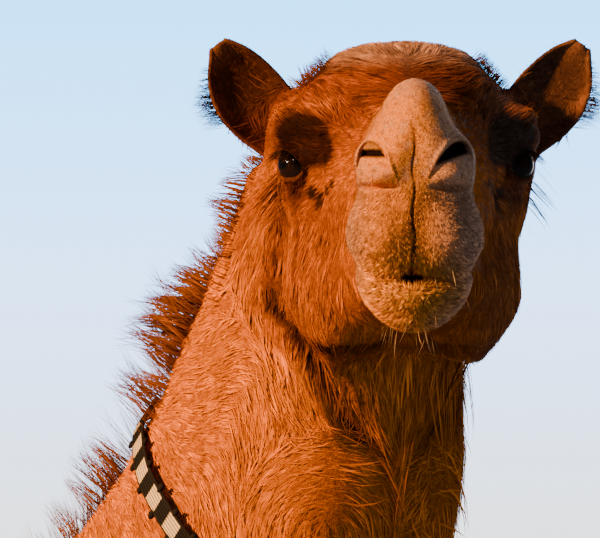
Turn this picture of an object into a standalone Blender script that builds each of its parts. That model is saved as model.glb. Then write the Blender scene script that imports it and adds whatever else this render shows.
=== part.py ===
# Life-size dromedary camel, standing at rest with its head turned to its right, wearing a woven collar.
#
# Metres, +Z up. The camel faces -Y and its left side is +X. The body is fused whole from lofts and
# ellipsoids, sculpted with a few brushes, and then parted into nodes with thin flat cuts.
import math

import bmesh
import bpy
import numpy as np
from mathutils import Matrix, Vector
from mathutils.bvhtree import BVHTree

# ---------------------------------------------------------------- driving dimensions
CUT_GAP = 0.0005  # what a thin cut leaves between two nodes
CUT_SPARE = 0.03  # kept past the head's cut while the two sides are thinned
TOUCH_GAP = 0.0004  # round the eyes, under the ears and behind the nails
BODY_VOXEL = 0.008
HEAD_VOXEL = 0.0042
BODY_SMOOTHING = 16
HEAD_SMOOTHING = 40
SIDES = {"left": 1, "right": -1}
BODY_TRIANGLES = 3250
HEAD_TRIANGLES = 2450

# Trunk: y, height of the widest level, half width, rise to the back, drop to the belly.
TRUNK = [
    (-0.80, 1.34, 0.070, 0.10, 0.09),
    (-0.72, 1.35, 0.150, 0.19, 0.18),
    (-0.56, 1.38, 0.215, 0.32, 0.31),
    (-0.36, 1.40, 0.260, 0.42, 0.40),
    (-0.12, 1.42, 0.310, 0.44, 0.42),
    (0.14, 1.43, 0.345, 0.43, 0.38),
    (0.38, 1.45, 0.325, 0.38, 0.30),
    (0.56, 1.50, 0.270, 0.31, 0.23),
    (0.70, 1.52, 0.205, 0.25, 0.18),
    (0.80, 1.52, 0.110, 0.15, 0.11),
]

# Hump: height, middle y, half length, half width.
HUMP = [
    (1.70, 0.04, 0.470, 0.250),
    (1.82, 0.05, 0.410, 0.218),
    (1.93, 0.06, 0.330, 0.180),
    (2.03, 0.07, 0.250, 0.145),
    (2.11, 0.075, 0.180, 0.108),
    (2.17, 0.08, 0.105, 0.066),
    (2.20, 0.082, 0.030, 0.020),
]
HUMP_CUT = 1.885

# Legs, top to sole: height, x, y, half width, reach forward, reach back.
FRONT_LEG = [
    (1.56, 0.170, -0.34, 0.070, 0.130, 0.130),
    (1.38, 0.190, -0.38, 0.085, 0.160, 0.150),
    (1.20, 0.180, -0.36, 0.085, 0.130, 0.135),
    (1.06, 0.168, -0.34, 0.072, 0.095, 0.105),
    (0.92, 0.160, -0.34, 0.058, 0.070, 0.075),
    (0.78, 0.155, -0.34, 0.050, 0.056, 0.056),
    (0.68, 0.152, -0.34, 0.055, 0.062, 0.052),
    (0.61, 0.151, -0.34, 0.056, 0.066, 0.052),
    (0.54, 0.150, -0.34, 0.044, 0.044, 0.046),
    (0.40, 0.150, -0.34, 0.034, 0.034, 0.038),
    (0.27, 0.150, -0.34, 0.036, 0.036, 0.042),
    (0.20, 0.150, -0.345, 0.047, 0.046, 0.050),
    (0.13, 0.150, -0.365, 0.052, 0.052, 0.050),
    (0.08, 0.150, -0.380, 0.074, 0.086, 0.074),
    (0.03, 0.150, -0.385, 0.092, 0.114, 0.090),
    (-0.02, 0.150, -0.385, 0.094, 0.117, 0.092),
]
HIND_LEG = [
    (1.66, 0.110, 0.60, 0.075, 0.120, 0.110),
    (1.50, 0.150, 0.58, 0.095, 0.170, 0.170),
    (1.34, 0.165, 0.55, 0.095, 0.175, 0.165),
    (1.20, 0.168, 0.53, 0.085, 0.150, 0.125),
    (1.06, 0.165, 0.55, 0.068, 0.110, 0.085),
    (0.92, 0.162, 0.605, 0.052, 0.078, 0.062),
    (0.80, 0.160, 0.655, 0.044, 0.060, 0.056),
    (0.71, 0.158, 0.680, 0.046, 0.056, 0.062),
    (0.63, 0.157, 0.685, 0.045, 0.052, 0.054),
    (0.54, 0.156, 0.675, 0.037, 0.042, 0.042),
    (0.40, 0.155, 0.665, 0.031, 0.032, 0.036),
    (0.27, 0.155, 0.655, 0.034, 0.034, 0.040),
    (0.20, 0.155, 0.645, 0.043, 0.044, 0.046),
    (0.13, 0.155, 0.630, 0.048, 0.050, 0.046),
    (0.08, 0.155, 0.618, 0.067, 0.080, 0.067),
    (0.03, 0.155, 0.612, 0.083, 0.103, 0.082),
    (-0.02, 0.155, 0.612, 0.085, 0.106, 0.084),
]
# How far each foot is set forward of the leg's rest line. The leg swings from its top.
STRIDE = {"front_right": 0.06, "front_left": -0.04, "hind_right": -0.05, "hind_left": 0.09}
SWING_TOP = 1.30

# Tail: centre y, z, radius.
TAIL = [
    (0.74, 1.640, 0.050),
    (0.825, 1.610, 0.044),
    (0.872, 1.510, 0.033),
    (0.882, 1.360, 0.026),
    (0.884, 1.220, 0.023),
    (0.886, 1.120, 0.030),
    (0.888, 1.020, 0.040),
    (0.890, 0.930, 0.034),
    (0.892, 0.850, 0.012),
]
TUFT_CUT = 1.13

# Neck: share of its length, climb and turn to the right in degrees, reach to the crest, reach to
# the throat, half width.
NECK_BASE = Vector((0.0, -0.42, 1.45))
NECK_LENGTH = 1.24
NECK = [
    (0.00, -8, 0, 0.290, 0.290, 0.214),
    (0.20, 4, 0, 0.264, 0.276, 0.200),
    (0.40, 27, 1, 0.238, 0.248, 0.182),
    (0.56, 48, 5, 0.222, 0.220, 0.164),
    (0.72, 62, 12, 0.198, 0.180, 0.146),
    (0.88, 66, 20, 0.174, 0.146, 0.129),
    (1.00, 60, 32, 0.146, 0.124, 0.114),
]

# Head: its own frame has x to the camel's left, y back along the line from nostril to eye, z up,
# and its origin half way between the eyes.
HEAD_TURN = 54.6
HEAD_DIP = 9.4
NAPE_JOINT = Vector((-0.030, 0.140, -0.030))
NAPE_RADII = (0.112, 0.122, 0.116)
HEAD_CUT = Vector((0.0, 0.205, -0.040))
HEAD_CUT_NORMAL = Vector((0.0, 0.75, -0.66))
EYE = Vector((0.0945, -0.008, 0.0))
EYE_RADIUS = 0.0225

# Face from the poll to the nose: forward of the eyes, top, bottom, half width.
FACE = [
    (-0.190, 0.050, -0.080, 0.070),
    (-0.140, 0.094, -0.110, 0.102),
    (-0.085, 0.120, -0.120, 0.120),
    (-0.030, 0.119, -0.120, 0.121),
    (0.015, 0.103, -0.113, 0.107),
    (0.055, 0.082, -0.105, 0.087),
    (0.100, 0.066, -0.098, 0.073),
    (0.150, 0.059, -0.095, 0.056),
    (0.200, 0.060, -0.096, 0.042),
    (0.240, 0.063, -0.096, 0.035),
    (0.275, 0.055, -0.093, 0.034),
    (0.303, 0.018, -0.082, 0.030),
]
# Lower jaw, the same way, back to front.
JAW = [
    (-0.125, -0.030, -0.115, 0.075),
    (-0.085, -0.030, -0.164, 0.098),
    (-0.025, -0.030, -0.178, 0.104),
    (0.035, -0.040, -0.160, 0.088),
    (0.095, -0.050, -0.141, 0.067),
    (0.160, -0.060, -0.131, 0.053),
    (0.210, -0.070, -0.131, 0.049),
    (0.250, -0.078, -0.131, 0.045),
    (0.288, -0.088, -0.126, 0.034),
]
# Flesh over the bones, mirrored where x isn't 0: middle (x, forward, up), radii (x, forward, up).
HEAD_FLESH = [
    ("nose_dome", (0.000, 0.230, 0.024), (0.0310, 0.070, 0.0460)),
    ("nostril_wing", (0.022, 0.258, -0.008), (0.0290, 0.052, 0.0340)),
    ("lip_lobe", (0.0250, 0.240, -0.064), (0.0335, 0.072, 0.0440)),
    ("chin", (0.000, 0.244, -0.103), (0.0430, 0.052, 0.0410)),
    ("brow", (0.080, -0.016, 0.022), (0.0470, 0.078, 0.0440)),
    ("cheek_muscle", (0.056, -0.034, -0.100), (0.0560, 0.104, 0.0880)),
    ("temple", (0.086, -0.088, 0.012), (0.0480, 0.066, 0.0700)),
    ("nape", (0.000, -0.165, -0.010), (0.0960, 0.110, 0.0900)),
]
# Brushes on the head, mirrored where x isn't 0: middle (x, forward, up), radii, push, likewise.
HEAD_PUSHES = [
    ("eye_socket", (0.116, 0.020, 0.000), (0.032, 0.034, 0.026), (-0.011, -0.006, 0.000)),
    ("tear_hollow", (0.100, 0.050, -0.022), (0.040, 0.050, 0.034), (-0.010, 0.000, 0.002)),
    ("brow_edge", (0.100, 0.014, 0.034), (0.040, 0.046, 0.024), (0.006, 0.004, 0.003)),
    ("temple_hollow", (0.092, -0.046, 0.082), (0.050, 0.060, 0.044), (-0.010, 0.000, -0.006)),
    ("nostril_dip", (0.040, 0.292, 0.010), (0.020, 0.030, 0.018), (-0.002, -0.010, -0.002)),
    ("nose_step", (0.026, 0.312, -0.028), (0.026, 0.030, 0.014), (0.000, -0.008, 0.000)),
    ("mouth_front", (0.000, 0.312, -0.097), (0.060, 0.034, 0.014), (0.000, -0.012, 0.002)),
    ("cleft", (0.000, 0.316, -0.062), (0.012, 0.040, 0.040), (0.000, -0.007, 0.000)),
    ("under_jaw", (0.000, 0.080, -0.165), (0.034, 0.150, 0.030), (0.000, 0.000, 0.012)),
]
MOUTH_LINE = [
    (0.000, 0.300, -0.097),
    (0.034, 0.292, -0.092),
    (0.052, 0.250, -0.084),
    (0.058, 0.190, -0.080),
    (0.066, 0.130, -0.074),
]
MOUTH_WIDTH = 0.016
MOUTH_DEPTH = 0.005
# The muzzle drifts to the camel's right, from this far forward of the eyes to the nose.
MUZZLE_DRIFT = 0.0045
MUZZLE_BASE = 0.08
MUZZLE_LENGTH = 0.20

# Ear: length, base on the head, then rows of share, half width, cup depth and shift outward.
EAR_LENGTH = 0.104
EAR_BASE = Vector((0.113, 0.092, 0.034))
EAR_LEAN = 36  # degrees outward from upright
EAR_ARC = 1.35
EAR_WALL = 0.0050
EAR = [
    (-0.20, 0.024, 0.028, 0.000),
    (0.00, 0.030, 0.027, 0.001),
    (0.20, 0.034, 0.025, 0.004),
    (0.45, 0.035, 0.022, 0.006),
    (0.70, 0.029, 0.017, 0.005),
    (0.88, 0.017, 0.010, 0.002),
    (1.00, 0.003, 0.002, 0.000),
]

# Nails: two on each foot, ahead of the foot's middle and to each side of it.
NAIL_RADII = (0.026, 0.034, 0.028)
NAIL_HEIGHT = 0.018
NAIL_AHEAD = {"front": (0.083, 0.040), "hind": (0.073, 0.036)}
NAIL_CLEARANCE = 0.0015  # above the floor
TOE_SPLIT = 0.020
TOE_DEPTH = 0.018

# Collar: share of the neck where it lies, its lean from square to the neck, width and thickness.
COLLAR_SHARE = 0.66
COLLAR_LEAN = 16
COLLAR_WIDTH = 0.020
COLLAR_THICKNESS = 0.0045
COLLAR_CLEARANCE = 0.0024
COLLAR_POINTS = 40

# Where the thin cuts go: place, normal, half extents across. x is mirrored where it isn't 0.
CUTS = {
    "neck_base": ((0, -0.66, 1.44), (0, -0.92, 0.39), 0.50),
    "hump_base": ((0, 0.05, HUMP_CUT), (0, 0, 1), 0.60),
    "tail_root": ((0, 0.877, 1.500), (0, 0, 1), 0.046),
    "tail_tuft": ((0, 0.886, TUFT_CUT), (0, 0, 1), 0.06),
    "elbow": ((0.165, -0.34, 0.965), (0, 0, 1), 0.155),
    "knee": ((0.155, -0.34, 0.585), (0, 0, 1), 0.145),
    "fetlock": ((0.155, -0.36, 0.155), (0, 0, 1), 0.145),
    "stifle": ((0.170, 0.56, 1.090), (0, 0, 1), 0.165),
    "hock": ((0.160, 0.68, 0.640), (0, 0, 1), 0.145),
    "pastern": ((0.160, 0.63, 0.155), (0, 0, 1), 0.145),
}
# The middle of each node that the cuts leave, those of the legs for the left side.
MIDDLE_NODES = {
    "neck": (0.00, -0.98, 1.67),
    "trunk": (0, 0.07, 1.42),
    "hump": (0, 0.06, 2.05),
    "tail": (0, 0.88, 1.32),
    "tail_tuft": (0, 0.89, 1.00),
}
LEG_NODES = {
    "front": {"forearm": (0.16, -0.34, 0.77), "cannon": (0.15, -0.35, 0.37), "foot": (0.15, -0.38, 0.08)},
    "hind": {"gaskin": (0.17, 0.58, 0.87), "cannon": (0.16, 0.65, 0.40), "foot": (0.15, 0.60, 0.08)},
}

# Colour and roughness of each kind of node.
COAT_COLOR = (0.40, 0.155, 0.045)
DARK_COAT_COLOR = (0.20, 0.075, 0.028)
HORN_COLOR = (0.09, 0.060, 0.042)
EYE_COLOR = (0.012, 0.007, 0.005)
COLLAR_COLOR = (0.34, 0.27, 0.20)


# ---------------------------------------------------------------- shapes
def clear_scene():
    for obj in list(bpy.data.objects):
        bpy.data.objects.remove(obj)


def material(name, color, roughness):
    made = bpy.data.materials.new(name)
    made.use_nodes = True
    shader = made.node_tree.nodes["Principled BSDF"]
    shader.inputs["Base Color"].default_value = (*color, 1.0)
    shader.inputs["Roughness"].default_value = roughness
    shader.inputs["Metallic"].default_value = 0.0
    made.diffuse_color = (*color, 1.0)
    return made


def add_object(name, mesh, folder):
    obj = bpy.data.objects.new(name, mesh)
    folder.objects.link(obj)
    return obj


def smooth_keys(keys, count):
    """The rows of keys with count smooth steps between each pair, by a Catmull-Rom curve."""
    rows = np.array(keys, float)
    padded = np.vstack([2 * rows[0] - rows[1], rows, 2 * rows[-1] - rows[-2]])
    made = []
    for before, start, end, after in zip(padded, padded[1:], padded[2:], padded[3:]):
        for step in range(count):
            t = step / count
            made.append(
                0.5
                * (
                    2 * start
                    + (end - before) * t
                    + (2 * before - 5 * start + 4 * end - after) * t**2
                    + (3 * start - before - 3 * end + after) * t**3
                )
            )
    return np.array([*made, rows[-1]])


def section(center, side, up, width, rise, drop, square=2.0, points=40):
    """A ring of points round center: width to each side, rise above and drop below."""
    ring = []
    for i in range(points):
        angle = 2 * math.pi * i / points
        across = math.copysign(abs(math.cos(angle)) ** (2 / square), math.cos(angle))
        along = math.copysign(abs(math.sin(angle)) ** (2 / square), math.sin(angle))
        height = rise if along > 0 else drop
        ring.append(Vector(center) + Vector(side) * (across * width) + Vector(up) * (along * height))
    return ring


def loft(rings):
    """A closed mesh through rings of equal counts, with a fan over each end."""
    bm = bmesh.new()
    rows = [[bm.verts.new(point) for point in ring] for ring in rings]
    for row, following in zip(rows, rows[1:]):
        for i in range(len(row)):
            j = (i + 1) % len(row)
            bm.faces.new((row[i], row[j], following[j], following[i]))
    bm.faces.new(rows[0])
    bm.faces.new(rows[-1])
    bmesh.ops.recalc_face_normals(bm, faces=bm.faces)
    mesh = bpy.data.meshes.new("loft")
    bm.to_mesh(mesh)
    bm.free()
    return mesh


def ellipsoid(center, radii, segments=24):
    bm = bmesh.new()
    bmesh.ops.create_uvsphere(bm, u_segments=segments, v_segments=segments // 2, radius=1.0)
    bm.transform(Matrix.Diagonal((*radii, 1.0)))
    bm.transform(Matrix.Translation(center))
    mesh = bpy.data.meshes.new("ellipsoid")
    bm.to_mesh(mesh)
    bm.free()
    return mesh


def coordinates(mesh):
    flat = np.empty(len(mesh.vertices) * 3)
    mesh.vertices.foreach_get("co", flat)
    return flat.reshape(-1, 3)


def set_coordinates(mesh, points):
    mesh.vertices.foreach_set("co", points.astype(np.float32).ravel())
    mesh.update()


def evaluated_mesh(obj):
    """The object's mesh with its modifiers applied. The object is removed."""
    graph = bpy.context.evaluated_depsgraph_get()
    mesh = bpy.data.meshes.new_from_object(obj.evaluated_get(graph))
    bpy.data.objects.remove(obj)
    return mesh


def fuse(meshes, voxel, smoothing):
    """One closed skin over overlapping closed meshes, with softened joins."""
    obj = add_object("fused", joined(meshes), bpy.context.scene.collection)
    remesh = obj.modifiers.new("Voxels", "REMESH")
    remesh.mode = "VOXEL"
    remesh.voxel_size = voxel
    soften = obj.modifiers.new("Soften", "SMOOTH")
    soften.factor = 0.5
    soften.iterations = smoothing
    return evaluated_mesh(obj)


def decimated(mesh, triangles):
    obj = add_object("dense", mesh, bpy.context.scene.collection)
    now = sum(len(face.vertices) - 2 for face in mesh.polygons)
    thin = obj.modifiers.new("Thin", "DECIMATE")
    thin.ratio = min(1.0, triangles / now)
    return evaluated_mesh(obj)


def grown(mesh, by):
    """A copy of the mesh, moved outward by this much."""
    obj = add_object("grown", mesh.copy(), bpy.context.scene.collection)
    out = obj.modifiers.new("Out", "DISPLACE")
    out.mid_level = 0.0
    out.strength = by
    return evaluated_mesh(obj)


def difference(mesh, cutter):
    """The mesh less the cutter's solid."""
    obj = add_object("cut", mesh, bpy.context.scene.collection)
    tool = add_object("cutter", cutter, bpy.context.scene.collection)
    modifier = obj.modifiers.new("Cut", "BOOLEAN")
    modifier.operation = "DIFFERENCE"
    modifier.solver = "EXACT"
    modifier.object = tool
    made = evaluated_mesh(obj)
    bpy.data.objects.remove(tool)
    return made


def joined(meshes):
    bm = bmesh.new()
    for mesh in meshes:
        bm.from_mesh(mesh)
    made = bpy.data.meshes.new("joined")
    bm.to_mesh(made)
    bm.free()
    return made


def kept_below(mesh, place, normal):
    """The part of the mesh behind a plane, with its cut closed."""
    bm = bmesh.new()
    bm.from_mesh(mesh)
    everything = [*bm.verts, *bm.edges, *bm.faces]
    bmesh.ops.bisect_plane(
        bm, geom=everything, plane_co=place, plane_no=normal, clear_outer=True, dist=1e-6
    )
    bmesh.ops.holes_fill(bm, edges=[edge for edge in bm.edges if edge.is_boundary])
    made = bpy.data.meshes.new("kept")
    bm.to_mesh(made)
    bm.free()
    return made


def slab(place, normal, reach):
    """A square plate as thin as the gap between two nodes."""
    bm = bmesh.new()
    bmesh.ops.create_cube(bm, size=1.0)
    bm.transform(Matrix.Diagonal((2 * reach, 2 * reach, CUT_GAP, 1.0)))
    bm.transform(Vector(normal).to_track_quat("Z", "Y").to_matrix().to_4x4())
    bm.transform(Matrix.Translation(place))
    made = bpy.data.meshes.new("slab")
    bm.to_mesh(made)
    bm.free()
    return made


def loose_parts(mesh):
    """One mesh for each separate piece of this one."""
    bm = bmesh.new()
    bm.from_mesh(mesh)
    left, parts = set(bm.verts), []
    while left:
        found, open_ends = set(), [left.pop()]
        while open_ends:
            vertex = open_ends.pop()
            found.add(vertex)
            others = (edge.other_vert(vertex) for edge in vertex.link_edges)
            open_ends += [other for other in others if other not in found]
        left -= found
        inside = {vertex.index for vertex in found}
        piece = bm.copy()
        outside = [vertex for vertex in piece.verts if vertex.index not in inside]
        bmesh.ops.delete(piece, geom=outside, context="VERTS")
        made = bpy.data.meshes.new("part")
        piece.to_mesh(made)
        piece.free()
        parts.append(made)
    bm.free()
    return parts


def largest(mesh):
    return max(loose_parts(mesh), key=lambda part: len(part.vertices))


# ---------------------------------------------------------------- brushes
def falloff(points, center, radii):
    """1 at center, down to 0 at the edge of the ellipsoid of these radii."""
    reach = np.linalg.norm((points - np.array(center)) / np.array(radii), axis=1)
    return np.clip(1 - reach**2, 0, 1) ** 2


def push(points, center, radii, by):
    points += falloff(points, center, radii)[:, None] * np.array(by)


def distance_to_line(points, line):
    """Each point's distance to a run of straight pieces."""
    best = np.full(len(points), np.inf)
    for start, end in zip(line, line[1:]):
        a, d = np.array(start), np.array(end) - np.array(start)
        t = np.clip(((points - a) @ d) / (d @ d), 0, 1)
        best = np.minimum(best, np.linalg.norm(points - a - t[:, None] * d, axis=1))
    return best


def mirrored(vector, side):
    """A row's (x, forward, up) in the head's frame, on the side of this sign."""
    x, forward, up = vector
    return (side * x, -forward, up)


def sculpt_head(mesh, frame):
    mesh.transform(frame.inverted())
    points = coordinates(mesh)
    for _, middle, (rx, ry, rz), by in HEAD_PUSHES:
        for side in (1, -1) if middle[0] else (1,):
            push(points, mirrored(middle, side), (rx, ry, rz), mirrored(by, side))
    for side in (1, -1):
        line = [mirrored(place, side) for place in MOUTH_LINE]
        near = np.clip(1 - (distance_to_line(points, line) / MOUTH_WIDTH) ** 2, 0, 1) ** 2
        points[:, 0] -= side * MOUTH_DEPTH * near * (np.sign(points[:, 0]) == side)
    share = np.clip((-points[:, 1] - MUZZLE_BASE) / MUZZLE_LENGTH, 0, 1)
    points[:, 0] -= MUZZLE_DRIFT * share**2 * (3 - 2 * share)
    set_coordinates(mesh, points)
    mesh.transform(frame)


# ---------------------------------------------------------------- the body's volumes
def trunk_mesh():
    rings = []
    for y, level, width, rise, drop in smooth_keys(TRUNK, 4):
        rings.append(section((0, y, level), (1, 0, 0), (0, 0, 1), width, rise, drop, 2.2))
    return loft(rings)


def leg_mesh(name, stride):
    """A leg's loft. The foot swings forward by stride."""
    stations = FRONT_LEG if name.startswith("front") else HIND_LEG
    side = SIDES[name.split("_")[1]]
    rings = []
    for z, x, y, width, ahead, behind in smooth_keys(stations, 3):
        y -= stride * min(1.0, max(0.0, (SWING_TOP - z) / SWING_TOP))
        center = (side * x, y, z)
        rings.append(section(center, (1, 0, 0), (0, -1, 0), width, ahead, behind, 2.1, 20))
    return loft(rings)


def tail_mesh():
    rings = []
    keys = smooth_keys(TAIL, 3)
    for i, (y, z, radius) in enumerate(keys):
        before, after = keys[max(i - 1, 0)], keys[min(i + 1, len(keys) - 1)]
        along = Vector((0, after[0] - before[0], after[1] - before[1])).normalized()
        across = Vector((1, 0, 0))
        rings.append(section((0, y, z), across, across.cross(along), radius, radius, radius, 2, 14))
    return loft(rings)


def hump_mesh():
    rings = []
    for z, y, length, width in smooth_keys(HUMP, 3):
        rings.append(section((0, y, z), (1, 0, 0), (0, 1, 0), width, length, length, 2.0))
    return loft(rings)


def neck_path():
    """Rows of centre, forward and side directions, and the three reaches, up the neck."""
    rows, place, steps = [], NECK_BASE.copy(), 8
    keys = smooth_keys(NECK, steps)
    for i, (share, climb, turn, *reaches) in enumerate(keys):
        if i:
            place = place + forward * (NECK_LENGTH * (share - keys[i - 1][0]))
        climb, turn = math.radians(climb), math.radians(turn)
        forward = Vector(
            (
                -math.sin(turn) * math.cos(climb),
                -math.cos(turn) * math.cos(climb),
                math.sin(climb),
            )
        )
        side = Vector((math.cos(turn), -math.sin(turn), 0.0))
        rows.append((place.copy(), forward, side, *reaches))
    return rows


def neck_mesh(rows):
    rings = []
    for place, forward, side, crest, throat, width in rows:
        rings.append(section(place, side, forward.cross(side), width, crest, throat, 2.1))
    return loft(rings)


def head_frame(neck_rows):
    """The matrix from the head's own frame to the world."""
    turn = Matrix.Rotation(-math.radians(HEAD_TURN), 4, "Z")
    dip = Matrix.Rotation(math.radians(HEAD_DIP), 4, "X")
    frame = turn @ dip
    frame.translation = neck_rows[-1][0] - frame.to_3x3() @ NAPE_JOINT
    return frame


def head_loft(stations, square):
    rings = []
    for forward, top, bottom, width in smooth_keys(stations, 4):
        middle = (top + bottom) / 2
        half = (top - bottom) / 2
        rings.append(
            section((0, -forward, middle), (1, 0, 0), (0, 0, 1), width, half, half, square)
        )
    return loft(rings)


def head_volumes():
    """The head's lofts and flesh, in the head's own frame."""
    meshes = [head_loft(FACE, 2.4), head_loft(JAW, 2.4), ellipsoid(NAPE_JOINT, NAPE_RADII)]
    for _, (x, forward, up), (rx, ry, rz) in HEAD_FLESH:
        for side in (1, -1) if x else (1,):
            meshes.append(ellipsoid((side * x, -forward, up), (rx, ry, rz)))
    return meshes


def ear_mesh(side):
    """A cupped, pointed shell, open to the front, in the head's own frame."""
    lean = math.radians(EAR_LEAN)
    axis = Vector((side * math.sin(lean), 0.0, math.cos(lean)))
    outward = Vector((side * math.cos(lean), 0.0, -math.sin(lean)))
    base = Vector((side * EAR_BASE.x, EAR_BASE.y, EAR_BASE.z))
    bm = bmesh.new()
    rows = []
    for share, width, cup, shift in smooth_keys(EAR, 1):
        row = []
        for i in range(9):
            angle = EAR_ARC * (i / 4 - 1)
            across = width * math.sin(angle) / math.sin(EAR_ARC) + shift
            depth = cup * math.cos(angle)
            place = base + axis * (EAR_LENGTH * share) + outward * across + Vector((0, depth, 0))
            row.append(bm.verts.new(place))
        rows.append(row)
    for row, following in zip(rows, rows[1:]):
        for i in range(8):
            bm.faces.new((row[i], row[i + 1], following[i + 1], following[i]))
    mesh = bpy.data.meshes.new("ear")
    bm.to_mesh(mesh)
    bm.free()
    obj = add_object("ear", mesh, bpy.context.scene.collection)
    wall = obj.modifiers.new("Wall", "SOLIDIFY")
    wall.thickness = EAR_WALL
    wall.offset = 0.0
    return evaluated_mesh(obj)


def collar_mesh(neck_rows, neck):
    """A flat band round the neck, just clear of it."""
    place, forward, side = neck_rows[round(COLLAR_SHARE * (len(neck_rows) - 1))][:3]
    up = forward.cross(side)
    lean = Matrix.Rotation(math.radians(COLLAR_LEAN), 3, side)
    forward, up = lean @ forward, lean @ up
    tree = BVHTree.FromPolygons(
        [vertex.co for vertex in neck.vertices], [list(face.vertices) for face in neck.polygons]
    )
    half = COLLAR_WIDTH / 2
    rays = []
    for i in range(2 * COLLAR_POINTS):
        angle = math.pi * i / COLLAR_POINTS
        rays.append(side * math.cos(angle) + up * math.sin(angle))

    def reach(along, i):
        start = place + forward * along
        return max(tree.ray_cast(start, rays[j % len(rays)])[3] for j in (i - 1, i, i + 1))

    bm = bmesh.new()
    rings = [[], [], [], []]
    for i in range(0, 2 * COLLAR_POINTS, 2):
        back, middle, front = (reach(along, i) for along in (-half, 0.0, half))
        clear = COLLAR_CLEARANCE + max(0.0, middle - (back + front) / 2)
        for ring, along, out in zip(
            rings,
            (-half, half, half, -half),
            (back, front, front + COLLAR_THICKNESS, back + COLLAR_THICKNESS),
        ):
            ring.append(bm.verts.new(place + forward * along + rays[i] * (out + clear)))
    for ring, following in zip(rings, [*rings[1:], rings[0]]):
        for i in range(COLLAR_POINTS):
            j = (i + 1) % COLLAR_POINTS
            bm.faces.new((ring[i], ring[j], following[j], following[i]))
    bmesh.ops.recalc_face_normals(bm, faces=bm.faces)
    mesh = bpy.data.meshes.new("collar")
    bm.to_mesh(mesh)
    bm.free()
    return mesh


def foot_of(name, stride):
    """The middle x and y of a foot, and its reach forward."""
    end, side = name.split("_")
    _, x, y, _, ahead, _ = (FRONT_LEG if end == "front" else HIND_LEG)[-1]
    return SIDES[side] * x, y - stride, ahead


def split_toes(points):
    """Presses a groove into the front of each foot, between its two toes."""
    for name, stride in STRIDE.items():
        x, y, ahead = foot_of(name, stride)
        push(points, (x, y - ahead, 0.02), (TOE_SPLIT, 0.05, 0.09), (0, TOE_DEPTH, 0))


def nail_meshes(name, stride, foot):
    x, y, _ = foot_of(name, stride)
    ahead, aside = NAIL_AHEAD[name.split("_")[0]]
    body = grown(foot, TOUCH_GAP)
    made = []
    for side in (1, -1):
        place = (x + side * aside, y - ahead, NAIL_HEIGHT)
        nail = ellipsoid(place, NAIL_RADII, 10)
        nail = kept_below(nail, (0, 0, NAIL_CLEARANCE), (0, 0, -1))
        made.append(largest(difference(nail, body.copy())))
    return made


def head_nodes(frame, neck_rows, volumes, cut_place, cut_normal):
    """The head, the eyes in their sockets and the ears set against it."""
    nodes, sockets = {}, []
    head = fuse([*volumes, neck_mesh(neck_rows[-16:])], HEAD_VOXEL, HEAD_SMOOTHING)
    sculpt_head(head, frame)
    head = decimated(kept_below(head, cut_place + cut_normal * CUT_SPARE, cut_normal), HEAD_TRIANGLES)
    head = kept_below(head, cut_place, cut_normal)
    for name, side in SIDES.items():
        eye = frame @ Vector((side * EYE.x, EYE.y, EYE.z))
        nodes[f"eye_{name}"] = ellipsoid(eye, [EYE_RADIUS] * 3, 14)
        sockets.append(ellipsoid(eye, [EYE_RADIUS + TOUCH_GAP] * 3, 14))
    head = largest(difference(head, joined(sockets)))
    nodes["head"] = head
    around = grown(head, TOUCH_GAP)
    for name, side in SIDES.items():
        ear = ear_mesh(side)
        ear.transform(frame)
        nodes[f"ear_{name}"] = largest(difference(ear, around.copy()))
    return nodes


def node_points():
    points = dict(MIDDLE_NODES)
    for end, pieces in LEG_NODES.items():
        for name, side in SIDES.items():
            for piece, (x, y, z) in pieces.items():
                points[f"{end}_{name}_{piece}"] = (side * x, y, z)
    return points


def body_nodes(neck_rows, volumes, cut_place, cut_normal):
    """Neck, trunk, hump, tail and legs, fused whole and then parted."""
    lofts = [trunk_mesh(), hump_mesh(), neck_mesh(neck_rows), tail_mesh()]
    lofts += [leg_mesh(name, stride) for name, stride in STRIDE.items()]
    body = fuse([*lofts, *volumes], BODY_VOXEL, BODY_SMOOTHING)
    points = coordinates(body)
    split_toes(points)
    set_coordinates(body, points)
    body = kept_below(body, cut_place - cut_normal * CUT_SPARE, -cut_normal)
    body = decimated(body, BODY_TRIANGLES)
    body = kept_below(body, cut_place + cut_normal * CUT_GAP, -cut_normal)
    body = kept_below(body, (0, 0, 0), (0, 0, -1))
    slabs = []
    for (x, y, z), normal, reach in CUTS.values():
        for side in (1, -1) if x else (1,):
            slabs.append(slab((side * x, y, z), normal, reach))
    parts = loose_parts(difference(body, joined(slabs)))
    middles = [(coordinates(part).min(0) + coordinates(part).max(0)) / 2 for part in parts]
    nodes = {}
    for name, point in node_points().items():
        nearest = min(range(len(parts)), key=lambda i: np.linalg.norm(middles[i] - point))
        nodes[name] = parts[nearest]
    return nodes


def finish_of(name):
    """Colour and roughness."""
    if name.startswith("eye"):
        return EYE_COLOR, 0.08
    if "nail" in name:
        return HORN_COLOR, 0.45
    if name == "collar":
        return COLLAR_COLOR, 0.9
    if name in ("tail_tuft", "ear_left", "ear_right"):
        return DARK_COAT_COLOR, 0.85
    return COAT_COLOR, 0.85


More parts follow.
